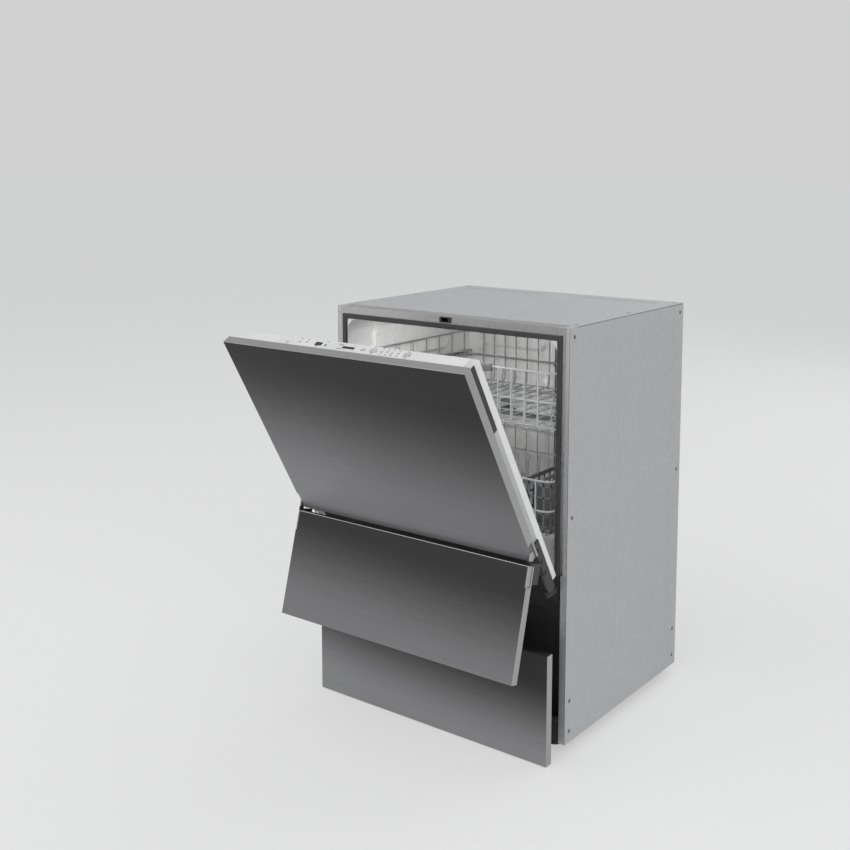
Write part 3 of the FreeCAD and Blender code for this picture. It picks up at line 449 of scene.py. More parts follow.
screw_steel = zinc_sheet("screw_steel", (0.16, 0.16, 0.155), (0.24, 0.24, 0.235), 300.0)
SCREW_HEAD = [(0, -0.9), (4.6, -0.9), (4.6, -0.07), (4.3, -0.02), (1.9, -0.02), (1.9, -0.9), (0, -0.9)]
SCREW_SOCKET = [(0, -0.9), (1.9, -0.9), (1.9, 0), (0, 0)]
HEAD_SIDES, SOCKET_SIDES = 18, 6
screw_spots = [(BACK, (side * 287, CASING_BACK, z)) for side in SIDES for z in (392, 560, 720, 850)]
screw_spots += [(BACK, (0, CASING_BACK, z)) for z in (392, 850)]
screw_spots += [((side, 0, 0), (side * CASING_HALF, y, z))
                for side in SIDES for y in (84, 552) for z in (46, 110, 490, 852)]
screw_spots += [(UP, (side * 284, y, CASING_TOP)) for side in SIDES for y in (116, 334, 552)]
screw_heads = turned_row(SCREW_HEAD, screw_spots, HEAD_SIDES)
set_piece("casing_screws", screw_heads, "cabinet", screw_steel)
# Near-black plugs in the screw heads: painted shade of the sockets.
socket_shade = zinc_sheet("socket_shade", (0.02, 0.02, 0.02), (0.035, 0.035, 0.035), 300.0)
screw_sockets = turned_row(SCREW_SOCKET, screw_spots, SOCKET_SIDES)
set_piece("screw_sockets", screw_sockets, "cabinet", socket_shade)

# Base: a moulded plastic pan with ribs, on four screw feet, and the pumps, the valve and the sump that
# stand in it. A black board with pressed fields closes its front, behind the fixed and swing fronts, as
# painted shade over the view into the base.
TONE_PATCHES, TONE_LOW, TONE_HIGH = 14.0, 0.35, 0.65
grain, grain_in, grain_out = group_frame(
    "moulded_grain", [("Grain Scale", "NodeSocketFloat", 1500.0)], ("Tone", "Grain"))
tone_noise = noise_on(grain, grain_in["Vector"], TONE_PATCHES, 4.0)
feed(grain, grain_out, {"Tone": spread_tone(grain, tone_noise, TONE_LOW, TONE_HIGH, 0, 1),
                        "Grain": noise_on(grain, grain_in["Vector"], grain_in["Grain Scale"])})


def moulding(name, dark, light, rough_low, rough_high, grain_scale=1500.0, depth=0.0003):
    """Moulded plastic, rubber or paint: a fine grain and slow changes of tone and gloss."""
    return patterned(name, grain, ("Tone", "Tone", "Grain"), dark, light, (rough_low, rough_high),
                     (0.2, depth), Grain_Scale=grain_scale)


black_plastic_and_shade = moulding("black_plastic_and_shade", (0.022, 0.022, 0.024), (0.034, 0.034, 0.036), 0.42, 0.56)
grey_plastic = moulding("grey_plastic", (0.20, 0.205, 0.21), (0.25, 0.255, 0.26), 0.38, 0.5)
for moulded, rounding in (("base_tray", 1.2), ("levelling_feet", 1.0), ("inlet_valve", 2.0), ("sump", 1.2),
                          ("circulation_pump", 4.0), ("drain_pump", 1.5)):
    formed(moulded, rounding, black_plastic_and_shade)
APRON_HALF, APRON_FOOT, APRON_TOP, APRON_FRONT, APRON_THICK = 296, 62, 318, 98, 2.0
# A black board over the base's front: painted shade.
shade_board = pressed_sheet([-APRON_HALF, 0, APRON_HALF], [APRON_FOOT, APRON_TOP], twin_fields, casing_press,
                      APRON_THICK, lambda x, z, w: (x, APRON_FRONT + w, z))
set_piece("base_shade_board", shade_board, "cabinet", black_plastic_and_shade)
RIB_HALF, RIB_FOOT = 1.5, 25


def about(middle, half):
    """The lower and upper measure of a piece, from its middle and half its size."""
    return middle - half, middle + half


tray_ribs = [(*about(x, RIB_HALF), 76, 560, RIB_FOOT, 44) for x in range(-260, 261, 65)]
tray_ribs += [(-292, 292, *about(y, RIB_HALF), RIB_FOOT, 40) for y in (180, 300, 420)]
set_piece("tray_ribs", blocks_mesh(tray_ribs, 0.6, 1), "cabinet", black_plastic_and_shade)
WASH_Y, PUMP_Z = 301, 335
ACROSS = (1, 0, 0)
PUMP_RIB = [(33.1, 0), (35.5, 0), (35.5, 4), (33.1, 4)]
pump_ribs = turned_row(PUMP_RIB, [(ACROSS, (x, WASH_Y, PUMP_Z)) for x in range(-185, -79, 15)], 40)
set_piece("pump_ribs", pump_ribs, "cabinet", grey_plastic)
THREAD_TURN = [(12.8, 0), (13.2, 0.4), (13.2, 1.2), (12.8, 1.6)]
INLET_X, INLET_Z = -205, 95
inlet_thread = turned_row(THREAD_TURN, [(BACK, (INLET_X, y, INLET_Z)) for y in range(544, 563, 3)], 32)
set_piece("inlet_thread", inlet_thread, "cabinet", grey_plastic)
HOSE_BARB = [(10.0, 0), (11.4, 2.0), (10.0, 5.0)]
DRAIN_X = 100
drain_barbs = turned_row(HOSE_BARB, [(BACK, (DRAIN_X, y, PUMP_Z)) for y in (544, 551, 558)], 28)
set_piece("drain_barbs", drain_barbs, "cabinet", black_plastic_and_shade)

# Tub: bright rolled stainless sheets with fields pressed inwards and rounded corners, welded to a box that
# is open at the front. A folded flange at the sides and the top of the opening carries the gasket.
rolled, rolled_in, rolled_out = group_frame(
    "rolled_lines", [("Along", "NodeSocketVector", (3.0, 260.0, 260.0))], ("Line", "Patch"))
stretch = add_node(rolled, "VectorMath", {0: rolled_in["Vector"], 1: rolled_in["Along"]},
                   operation="MULTIPLY")
line_noise = noise_on(rolled, stretch.outputs["Vector"], 1.0, 3.0)
patch_noise = noise_on(rolled, rolled_in["Vector"], 5.0, 4.0)
feed(rolled, rolled_out, {"Line": spread_tone(rolled, line_noise, 0.3, 0.7, 0, 1),
                          "Patch": spread_tone(rolled, patch_noise, TONE_LOW, TONE_HIGH, 0, 1)})


def stainless(name, dark, light, rough_low, rough_high, along, metal=1.0):
    """Stainless steel with rolling or brushing lines, and faint patches where it was wiped."""
    return patterned(name, rolled, ("Line", "Patch", "Line"), dark, light, (rough_low, rough_high),
                     (0.15, 0.00012), metal, Along=along)


def show(node, material):
    """Gives a carried-over node its finish."""
    for slot in nodes[node].material_slots:
        slot.material = material


tub_steel = stainless("tub_steel", (0.82, 0.82, 0.81), (0.89, 0.89, 0.88), 0.22, 0.30, (240.0, 240.0, 3.0),
                      0.35)
show("tub_floor", tub_steel)
TUB_HALF, TUB_FRONT, TUB_BACK, TUB_FLOOR, TUB_TOP = 270, 66, 536, 374, 844
TUB_SHEET, COVE = 1.0, 26


def cove_mesh(start, end, inward_a, inward_b, steps=6):
    """A rounded inside corner: a quarter hollow between two faces, along a straight corner line."""
    form = bmesh.new()
    a, b = Vector(inward_a), Vector(inward_b)
    angles = [math.pi / 2 * k / steps for k in range(steps + 1)]
    hollow = [(a + b) * COVE - (a * math.cos(t) + b * math.sin(t)) * COVE for t in angles]
    ends = [[form.verts.new(Vector(spot) + offset) for offset in (Vector(), *hollow)]
            for spot in (start, end)]
    bridge(form, ends)
    for outline in ends:
        form.faces.new(outline)
    return mesh_from(form)


coves = []
for side in SIDES:
    x = side * TUB_HALF
    inward = (-side, 0, 0)
    coves.append(cove_mesh((x, TUB_BACK, TUB_FLOOR), (x, TUB_BACK, TUB_TOP), inward, (0, -1, 0)))
    coves.append(cove_mesh((x, TUB_FRONT + TUB_SHEET, TUB_TOP), (x, TUB_BACK, TUB_TOP), inward, (0, 0, -1)))
coves.append(cove_mesh((-TUB_HALF, TUB_BACK, TUB_TOP), (TUB_HALF, TUB_BACK, TUB_TOP), (0, -1, 0), (0, 0, -1)))
tub_lit.objects.link(set_piece("tub_corners", joined_mesh(coves), "cabinet", tub_steel))

rail_steel = stainless("rail_steel", (0.46, 0.46, 0.455), (0.55, 0.55, 0.54), 0.24, 0.34, (240.0, 3.0, 240.0))
FLANGE_HALF, FLANGE_BACK, FLANGE_TOP = 290, TUB_FRONT + TUB_SHEET, 871
SLOT_HALF, SLOT_LOW, SLOT_HIGH, SLOT_LAP = 9, 859, 867, 0.2
wall_foot, wall_top = TUB_FLOOR - TUB_SHEET, TUB_TOP + TUB_SHEET
field_xs = [-249, -21, 21, 249]
tub_press = [(12, 28, 0.0), (14, 27, -0.9), (20, 23, -5.8), (23, 21, -6.6)]
for side, wall_node in zip(SIDES, ("tub_side_left", "tub_side_right")):
    wall = pressed_sheet([TUB_FRONT, 136, 462, TUB_BACK], [wall_foot, 396, 696, 714, 836, wall_top],
                         {(1, 1), (1, 3)}, tub_press, TUB_SHEET,
                         lambda y, z, w, s=side: (s * (TUB_HALF + w), y, z))
    flange = blocks_mesh([(*on_side(side, TUB_HALF, FLANGE_HALF), TUB_FRONT, FLANGE_BACK, wall_foot,
                           FLANGE_TOP)], 0.3, 1)
    tub_lit.objects.link(reformed(wall_node, wall, tub_steel))
    set_piece(wall_node + "_flange", flange, "cabinet", rail_steel)
ceiling = pressed_sheet([-TUB_HALF, *field_xs, TUB_HALF], [TUB_FRONT, 96, 514, TUB_BACK], {(1, 1), (3, 1)},
                        tub_press, TUB_SHEET, lambda x, y, w: (x, y, TUB_TOP + w))
slot_edge = SLOT_HALF + SLOT_LAP
head_flange = blocks_mesh([(x0, x1, TUB_FRONT, FLANGE_BACK, z0, z1) for x0, x1, z0, z1 in (
    (-TUB_HALF, -SLOT_HALF, TUB_TOP, FLANGE_TOP), (SLOT_HALF, TUB_HALF, TUB_TOP, FLANGE_TOP),
    (-slot_edge, slot_edge, TUB_TOP, SLOT_LOW), (-slot_edge, slot_edge, SLOT_HIGH, FLANGE_TOP))], 0.0)
tub_lit.objects.link(reformed("tub_ceiling", ceiling, tub_steel))
set_piece("tub_head_flange", head_flange, "cabinet", rail_steel)
back_half = TUB_HALF + TUB_SHEET
back_wall = pressed_sheet([-back_half, *field_xs, back_half], [wall_foot, 396, 690, 714, 836, wall_top],
                          {(1, 1), (3, 1), (1, 3), (3, 3)}, tub_press, TUB_SHEET,
                          lambda x, z, w: (x, TUB_BACK + w, z))
tub_lit.objects.link(reformed("tub_back_wall", back_wall, tub_steel))
tub_lit.objects.link(nodes["tub_floor"])

# Gasket: an extruded black rubber strip, pressed on to the tub's flange along its sides and its top. Its
# rounded lip meets the door's liner when the door is shut.
LIP_HALF, LIP_Y, LIP_LOW, LIP_HIGH, LIP_RADIUS = 277, 64.4, 376, 850, 2.0


def rounded_path(points, radius, closed=False, steps=5):
    """Points of a path with its corners turned into arcs."""
    points = [Vector(p) for p in points]
    path = []
    for i, corner in enumerate(points):
        if not closed and i in (0, len(points) - 1):
            path.append(corner)
            continue
        before, after = points[i - 1] - corner, points[(i + 1) % len(points)] - corner
        half = before.angle(after) / 2
        reach = min(radius / math.tan(half), before.length * 0.49, after.length * 0.49)
        start, end = corner + before.normalized() * reach, corner + after.normalized() * reach
        for k in range(steps + 1):
            t = k / steps
            path.append(start * (1 - t) ** 2 + corner * 2 * t * (1 - t) + end * t ** 2)
    return path


def u_path(start, end, outer, inner, radius):
    """A path that starts at an outer level, runs across at an inner level and ends at the outer one."""
    return rounded_path([(*start, outer), (*start, inner), (*end, inner), (*end, outer)], radius)


def wire_mesh(paths, radius, closed=False, resolution=2):
    """Round wires along paths, as one mesh."""
    curve = bpy.data.curves.new("wire_path", "CURVE")
    curve.dimensions = "3D"
    curve.bevel_depth = radius
    curve.bevel_resolution = resolution
    curve.use_fill_caps = True
    for path in paths:
        spline = curve.splines.new("POLY")
        spline.points.add(len(path) - 1)
        for point, place in zip(spline.points, path):
            point.co = (*place, 1)
        spline.use_cyclic_u = closed
    holder = bpy.data.objects.new("wire_holder", curve)
    scene.collection.objects.link(holder)
    mesh = bpy.data.meshes.new_from_object(holder)
    bpy.data.objects.remove(holder)
    bpy.data.curves.remove(curve)
    return mesh


rubber = moulding("gasket_rubber", (0.030, 0.030, 0.031), (0.044, 0.044, 0.045), 0.5, 0.62, 900.0)
formed("tub_gasket", 0.9, rubber)
lip = u_path((-LIP_HALF, LIP_Y), (LIP_HALF, LIP_Y), LIP_LOW, LIP_HIGH, 8)
set_piece("gasket_lip", wire_mesh([lip], LIP_RADIUS), "cabinet", rubber)

# Rails, feed pipe and shower: folded steel channels on the tub's side walls carry the upper rack between
# moulded stops. A moulded grey pipe leads water up the back wall to a shower under the ceiling.
formed("upper_rails", 0.5, rail_steel)
RAIL_X, STOP_HALF = 264, 5.5
FRONT_STOPS = [(84, 90, 698.6, 702.6), (84, 90, 713.4, 717.4)]
REAR_STOPS = [(530, 535, 698.6, 717.4)]
stops = [(*about(side * RAIL_X, STOP_HALF), *span)
         for spans in (FRONT_STOPS, REAR_STOPS) for side in SIDES for span in spans]
set_piece("rail_stops", blocks_mesh(stops, 1.2), "cabinet", grey_plastic)
PIPE_Y, PIPE_Z, PIPE_RADIUS, SHOWER_Z = 523, 833, 8, 819
PIPE_COLLAR = [(8, 0), (10.4, 0.6), (10.4, 5), (8, 5.6)]
SHOWER = [(0, 0), (26, 0), (30, 2.5), (30, 7), (24, 10), (8, 13), (0, 13)]
feed_path = rounded_path([(0, PIPE_Y, TUB_FLOOR + TUB_SHEET), (0, PIPE_Y, PIPE_Z),
                          (0, WASH_Y + 1, PIPE_Z)], 24, steps=8)
pipework = [wire_mesh([feed_path], PIPE_RADIUS, resolution=4)]
pipework += [turned(PIPE_COLLAR, UP, (0, PIPE_Y, z), 28) for z in (420, 560, 700, 790)]
pipework.append(turned(SHOWER, UP, (0, WASH_Y, SHOWER_Z), 40))
reformed("feed_pipe", joined_mesh(pipework), grey_plastic)
# The shower's holes are flat black discs under it: painted shade.
SHOWER_HOLE = [(0, 0), (1.6, 0), (1.6, 0.4), (0, 0.4)]
HOLE_RINGS, HOLE_Z = ((8, 6), (17, 12)), 818.7
hole_spots = [(UP, (r * math.cos(a), WASH_Y + r * math.sin(a), HOLE_Z))
              for r, count in HOLE_RINGS for a in (2 * math.pi * i / count for i in range(count))]
set_piece("shower_holes", turned_row(SHOWER_HOLE, hole_spots, 10), "cabinet", black_plastic_and_shade)

# Hinges: pressed steel brackets with pins, painted black, on the sill below the tub, and arms riveted to
# the sides of the door that turn on them. Zinc brackets hold the fixed front.
hinge_zinc = zinc_sheet("hinge_zinc", (0.40, 0.40, 0.39), (0.52, 0.52, 0.50), 220.0)
# The sill is formed in black plastic as painted shade under the door.
formed("door_sill", 0.6, black_plastic_and_shade)
black_steel_and_shade = moulding("black_steel_and_shade", (0.020, 0.020, 0.021), (0.032, 0.032, 0.033), 0.36, 0.5, 1800.0, 0.0001)
formed("hinge_brackets", 0.6, black_steel_and_shade)
formed("hinge_arms", 0.5, black_steel_and_shade)
formed("fixed_panel_brackets", 0.5, hinge_zinc)
RIVET = [(0, 0), (4.5, 0), (4.2, 1.2), (2.5, 2.0), (0, 2.2)]
RIVET_X, RIVET_Y = 287.5, 33
rivet_spots = [((side, 0, 0), (side * RIVET_X, RIVET_Y, z)) for side in SIDES for z in (400, 430, 460)]
set_piece("arm_rivets", turned_row(RIVET, rivet_spots, 18), "door", black_steel_and_shade)

# Steel fronts: folded and brushed stainless skins round a board core, one on the door, one that swings
# under it and one fixed below. The face carries a painted reflection: dark brushed steel at the top that
# lightens towards the lower left, by a different amount on each front. The folded edges are paler.
# Painted reflection on the fronts: a share from 0 to 1 along a fall line, from a front's dark top to its
# light lower left.
painted_reflection, painted_reflection_in, painted_reflection_out = group_frame(
    "front_painted_reflection", [("Fall", "NodeSocketVector", (0.0, 0.0, -1.0)), ("Start", "NodeSocketFloat", 0.0),
                    ("End", "NodeSocketFloat", 1.0)], ("Painted Reflection",))
fall = add_node(painted_reflection, "VectorMath", {0: painted_reflection_in["Vector"], 1: painted_reflection_in["Fall"]}, operation="DOT_PRODUCT")
fade = spread_tone(painted_reflection, fall.outputs["Value"], painted_reflection_in["Start"], painted_reflection_in["End"], 0, 1,
                   interpolation_type="SMOOTHSTEP")
feed(painted_reflection, painted_reflection_out, {"Painted Reflection": fade})

BRUSHED_ACROSS, FACE_BRUSHING = (3.0, 300.0, 300.0), (3.0, 420.0, 420.0)
# The dark end of the painted reflection on the faces, its tilt towards the left, and the tones of the
# brushing streaks.
FACE_REFLECTION_DARK, STREAK_DARK, STREAK_LIGHT = (0.044,) * 3, (0.6,) * 3, (1.25,) * 3
REFLECTION_LEFTWARD = Vector((-0.32, 0, 0))
edge_steel = stainless("front_edge_steel", (0.36, 0.36, 0.36), (0.44, 0.44, 0.44), 0.30, 0.40, BRUSHED_ACROSS)


def front_steel(name, stand, low, high, light, start, full):
    """The brushed face of one front, with a painted reflection that is dark at its upper edge and light at
    its lower edge.
    """
    material, tree, vector = new_finish(name)
    upper, lower = stand @ Vector((0, 0, high)), stand @ Vector((0, 0, low))
    fall_line = (lower - upper) / (lower - upper).length_squared + REFLECTION_LEFTWARD
    top = fall_line.dot(upper)
    shade = add_group(tree, painted_reflection, vector, Fall=fall_line, Start=top + start, End=top + full)
    lines = add_group(tree, rolled, vector, Along=FACE_BRUSHING)
    tone = mixed_colour(tree, shade["Painted Reflection"], FACE_REFLECTION_DARK, (light, light, light * 1.02))
    strokes = mixed_colour(tree, lines["Line"], STREAK_DARK, STREAK_LIGHT)
    streaked = add_node(tree, "Mix", {"Factor": 0.16, "A": tone, "B": strokes}, data_type="RGBA",
                        blend_type="MULTIPLY")
    feed(tree, tree.nodes["Principled BSDF"], {
        "Metallic": 0.45, "Specular IOR Level": 0.1, "Base Color": streaked.outputs["Result"],
        "Roughness": spread_tone(tree, lines["Patch"], 0, 1, 0.40, 0.48),
        "Normal": bump_from(tree, lines["Line"], 0.12, 0.0001)})
    return material


def steel_skin(node, stand, low, high, light, start, full):
    """A front's skin with rounded folds: the brushed face in one finish, the folded edges in another."""
    skin = formed(node, 0.7, front_steel(node + "_face", stand, low, high, light, start, full), 3)
    skin.data.materials.append(edge_steel)
    outward = (stand.to_3x3() @ Vector((0, -1, 0))).normalized()
    for polygon in skin.data.polygons:
        if polygon.normal.dot(outward) < 0.9:
            polygon.material_index = 1


board = moulding("core_board", (0.16, 0.155, 0.15), (0.22, 0.215, 0.21), 0.6, 0.75, 600.0)
# For each front: the light tone of its painted reflection, and where that reflection starts and reaches full
# lightness.
for front, stand, low, high, light, start, full in (
        ("fixed_panel", CABINET, 3, 231, 0.295, 0.12, 0.95),
        ("upper_panel", DOOR, 465, 921, 0.295, 0.10, 0.98),
        ("swing_panel", SWING, 237, 459, 0.215, 0.09, 1.0)):
    steel_skin(front + "_skin", stand, low, high, light, start, full)
    show(front + "_core", board)

# Folding joint: steel arms and black ears hang the swing front under the door, beside drilled end plates
# on the door box. A black strip along the swing front's upper edge is painted shade in the gap under the
# door, the arms are painted black across that gap as shade, and the right end plate is black as painted
# shade. A pale steel rim on the swing front's upper edge is a painted highlight.
# Near-black finish that is painted shade: the strip in the swing gap, the arms across that gap and the strip
# on the shell front.
gap_shade_black = moulding("gap_shade_black", (0.008, 0.008, 0.009), (0.013, 0.013, 0.014), 0.7, 0.85, 900.0)
gap_shade_strip = blocks_mesh([(-293, 293, 2.4, 18.8, 458.8, 460.2)], 0.4)
set_piece("swing_gap_shade", gap_shade_strip, "swing_panel", gap_shade_black)
EAR_X, EAR_HALF = 295.5, 1.2
ears = [blocks_mesh([(*about(side * EAR_X, EAR_HALF), 12, 42, 424, 464.2)], 0.8) for side in SIDES]
set_piece("swing_ears", joined_mesh(ears), "swing_panel", black_steel_and_shade)
# The arms' faces between these levels, in the gap between the door and the swing front, take the near-black
# finish as painted shade.
ARM_GAP_LOW, ARM_GAP_HIGH = 459.7, 469.0
arms = formed("swing_arms", 0.4, edge_steel)
arms.data.materials.append(gap_shade_black)
to_swing = SWING.inverted()
arm_up = (SWING.to_3x3() @ Vector((0, 0, 1))).normalized()
arm_form = bmesh.new()
arm_form.from_mesh(arms.data)
for level in (ARM_GAP_LOW, ARM_GAP_HIGH):
    bmesh.ops.bisect_plane(arm_form, geom=arm_form.verts[:] + arm_form.edges[:] + arm_form.faces[:],
                           plane_co=SWING @ Vector((0, 0, level)), plane_no=arm_up)
for face in arm_form.faces:
    if ARM_GAP_LOW < (to_swing @ face.calc_center_median()).z < ARM_GAP_HIGH:
        face.material_index = 1
arm_form.to_mesh(arms.data)
arm_form.free()
PLATE_NEAR, PLATE_FAR, PLATE_LOW, PLATE_HIGH, PLATE_ROUND = 262, 293.8, 405, 464, 3
PLATE_Y, PLATE_THICK = 19.3, 1.3
BORE_X, BORE_Z, BORE_RADIUS = 286, 431, 4.2


def end_plate(side):
    """A flat plate with rounded corners and one round hole."""
    form = bmesh.new()
    bore_x = side * BORE_X
    edge = sum(rounded_corners(*on_side(side, PLATE_NEAR, PLATE_FAR), PLATE_LOW, PLATE_HIGH, PLATE_ROUND), [])
    bore = sum(rounded_corners(*about(bore_x, BORE_RADIUS), *about(BORE_Z, BORE_RADIUS), BORE_RADIUS), [])
    loops = [[form.verts.new((x, PLATE_Y + depth, z)) for x, z in outline]
             for outline, depth in ((edge, 0), (bore, 0), (bore, PLATE_THICK), (edge, PLATE_THICK))]
    bridge(form, loops + loops[:1])
    bmesh.ops.remove_doubles(form, verts=form.verts, dist=1e-4)
    return mesh_from(form)


plate_zinc = zinc_sheet("plate_zinc", (0.25, 0.25, 0.245), (0.30, 0.30, 0.295), 220.0)
set_piece("door_end_plate_left", end_plate(-1), "door", plate_zinc)
# The right plate is black steel where the left one is zinc: painted shade.
set_piece("door_end_plate_right", end_plate(1), "door", black_steel_and_shade)
# A pale steel strip on the swing front's top edge: a painted highlight.
rim_highlight_steel = stainless("rim_highlight_steel", (0.62, 0.62, 0.62), (0.70, 0.70, 0.70), 0.24, 0.32, BRUSHED_ACROSS)
swing_highlight_rim = blocks_mesh([(-294, 294, 0.15, 2.3, 458.6, 459.7)], 0.3)
set_piece("swing_highlight_rim", swing_highlight_rim, "swing_panel", rim_highlight_steel)

# Door box: a painted sheet shell, painted black along its lower edge as shade, a near-black strip on its
# front as painted shade where it shows through the gap, a black control housing above it and the stainless
# liner inside, with a pressed bead and screws along its sides.
# Polygons below this level take black steel: painted shade on the door box's lower end.
SHELL_SHADE_BELOW = 364
shell_paint = moulding("shell_paint", (0.50, 0.50, 0.50), (0.56, 0.56, 0.56), 0.36, 0.46, 2200.0, 0.0001)
shell = formed("door_shell", 0.5, shell_paint)
shell.data.materials.append(black_steel_and_shade)
to_door = DOOR.inverted()
for polygon in shell.data.polygons:
    if (to_door @ polygon.center).z < SHELL_SHADE_BELOW:
        polygon.material_index = 1
# A near-black strip on the shell's front where it shows through the gap: painted shade.
shell_shade_strip = blocks_mesh([(-283.9, 283.9, 20.7, 21.3, 362.2, 468)], 0.2, 1)
set_piece("shell_front_shade", shell_shade_strip, "door", gap_shade_black)
formed("control_housing", 1.0, black_plastic_and_shade)
formed("door_liner", 1.0, tub_steel, 3)
LINER_Y = 62
BEAD_HALF, BEAD_LOW, BEAD_HIGH = 262, 392, 842
BEAD_RINGS = [(0, 40, -0.4), (2, 38, 0.6), (7, 34, 3.2), (11, 30, 4.0), (24, 24, 4.0), (28, 22, 3.2),
              (33, 20, 0.6), (35, 19, -0.4)]
bead_form = bmesh.new()
bead_rounds = []
for inset, radius, height in BEAD_RINGS:
    arcs = rounded_corners(inset - BEAD_HALF, BEAD_HALF - inset, BEAD_LOW + inset, BEAD_HIGH - inset, radius)
    bead_rounds.append([bead_form.verts.new((x, LINER_Y + height, z)) for arc in arcs for x, z in arc])
bridge(bead_form, bead_rounds + bead_rounds[:1])
set_piece("liner_bead", mesh_from(bead_form), "door", tub_steel)
LINER_SCREW = [(0, 0), (3.6, 0), (3.6, 0.5), (3.2, 1.3), (2.2, 1.9), (1.0, 2.1), (0.9, 1.2), (0, 1.2)]
LINER_SCREW_X = 267
liner_spots = [(BACK, (side * LINER_SCREW_X, LINER_Y, z)) for side in SIDES for z in (380, 540, 700, 880)]
set_piece("liner_screws", turned_row(LINER_SCREW, liner_spots, 14), "door", screw_steel)

# Control fascia: a white moulding clipped into the door's top edge, with a dark display window in a bezel,
# four keys that travel, grey lenses, and plain rings and bars printed beside them.
FASCIA_TOP, FASCIA_GRAIN, FASCIA_DEPTH = 920, 2500.0, 0.0001
white_plastic = moulding("fascia_white", (0.74, 0.74, 0.73), (0.80, 0.80, 0.79), 0.28, 0.36, FASCIA_GRAIN,
                         FASCIA_DEPTH)
key_plastic = moulding("key_grey", (0.46, 0.47, 0.48), (0.54, 0.55, 0.56), 0.28, 0.36, FASCIA_GRAIN,
                       FASCIA_DEPTH)
mark_ink = moulding("mark_ink", (0.07, 0.07, 0.075), (0.10, 0.10, 0.105), 0.45, 0.55, FASCIA_GRAIN, 0.00005)
display_glass = moulding("display_glass", (0.008, 0.008, 0.010), (0.012, 0.012, 0.014), 0.05, 0.09,
                         FASCIA_GRAIN, 0.00001)
formed("control_fascia", 1.2, white_plastic, 3)
formed("display_window", 0.25, display_glass)
for key, key_finish in (("power_button", white_plastic), ("program_button", black_plastic_and_shade),
                        ("option_button", key_plastic), ("start_button", key_plastic)):
    formed(key, 1.2, key_finish, 3)
BEZEL_FIELDS = [(-14, -3, 24.8, 39.2), (-14, 26.2, 24.8, 27.4), (-14, 26.2, 34, 39.2)]
bezel = [(*field, 919.9, 920.3) for field in BEZEL_FIELDS]
set_piece("display_bezel", blocks_mesh(bezel, 0.15, 1), "door", white_plastic)
LENS = [(0, -0.2), (3.4, -0.2), (3.4, 0.25), (2.6, 0.5), (0, 0.6)]
lens_places = [(92, 31), (104, 33), (116, 31), (130, 32)]
lenses = turned_row(LENS, [(UP, (x, y, FASCIA_TOP)) for x, y in lens_places])
set_piece("indicator_lenses", lenses, "door", key_plastic)
RING = [(1.9, -0.1), (2.7, -0.1), (2.7, 0.15), (1.9, 0.15), (1.9, -0.1)]
ring_places = [(x, 24.2) for x in (-140, -64, 72, 150)] + [(-112, 31), (-94, 33)]
rings = turned_row(RING, [(UP, (x, y, FASCIA_TOP)) for x, y in ring_places])
bar_fields = [(*about(x, 3), 39.6, 40.8) for x in (-112, -94, -45, 72, 92, 104, 116, 130, 150)]
bar_fields += [(*about(x, 2.2), 24, 25.6) for x, y in lens_places]
bar_fields += [(-47, -43, 27, 33), (44, 46, 27, 34), (50, 52, 27, 34)]
bars = blocks_mesh([(*field, 919.9, 920.15) for field in bar_fields], 0.0)
set_piece("fascia_marks", joined_mesh([rings, bars]), "door", mark_ink)
end_cap = blocks_mesh([(-281.6, -238, 19.6, 43.2, 919.5, 920.4)], 0.3)
set_piece("fascia_end_cap", end_cap, "door", white_plastic)

# Detergent dispenser: a grey moulding set on the liner, with a hinged white lid that has grip ribs, and
# a round dosing cap with a bar to turn it by.
formed("dispenser_body", 2.0, grey_plastic, 3)
formed("dispenser_lid", 0.7, white_plastic)
DOSING_CAP = [(0, 0), (19, 0), (19, 2.5), (17, 4), (0, 4)]
dispenser_cap = [turned(DOSING_CAP, BACK, (46, 70, 622), 32), blocks_mesh([(44, 48, 73, 77, 606, 638)], 1.0)]
set_piece("dispenser_cap", joined_mesh(dispenser_cap), "door", white_plastic)
lid_grips = [(-35, -15, 72, 73.2, *about(z, 1)) for z in (640, 646, 652)]
set_piece("lid_grips", blocks_mesh(lid_grips, 0.4, 1), "detergent_lid", white_plastic)

# Latch: a zinc tongue on the liner, which goes through the slot in the tub's flange when the door is
# shut, and a moulded black catch behind the slot.
formed("latch_tongue", 1.0, hinge_zinc)
formed("latch_catch", 0.8, black_plastic_and_shade)

# Racks: bent and welded steel wire with a grey nylon coat. Long wires turn up at both ends, cross wires
# turn up at both sides, and the rims run round outside them. The upper rack slides on runners, the lower
# one hangs its wheels from moulded plates.
coat = moulding("nylon_coat", (0.60, 0.61, 0.62), (0.66, 0.67, 0.68), 0.30, 0.40, 1800.0, 0.0001)
THIN_WIRE, RIM_WIRE, WIRE_STEP, CROSS_RISE = 1.6, 2.2, 3.9, 3.3
LONG_PITCH, CROSS_PITCH, WIRE_BEND, RIM_BEND = 32, 52, 14, 22


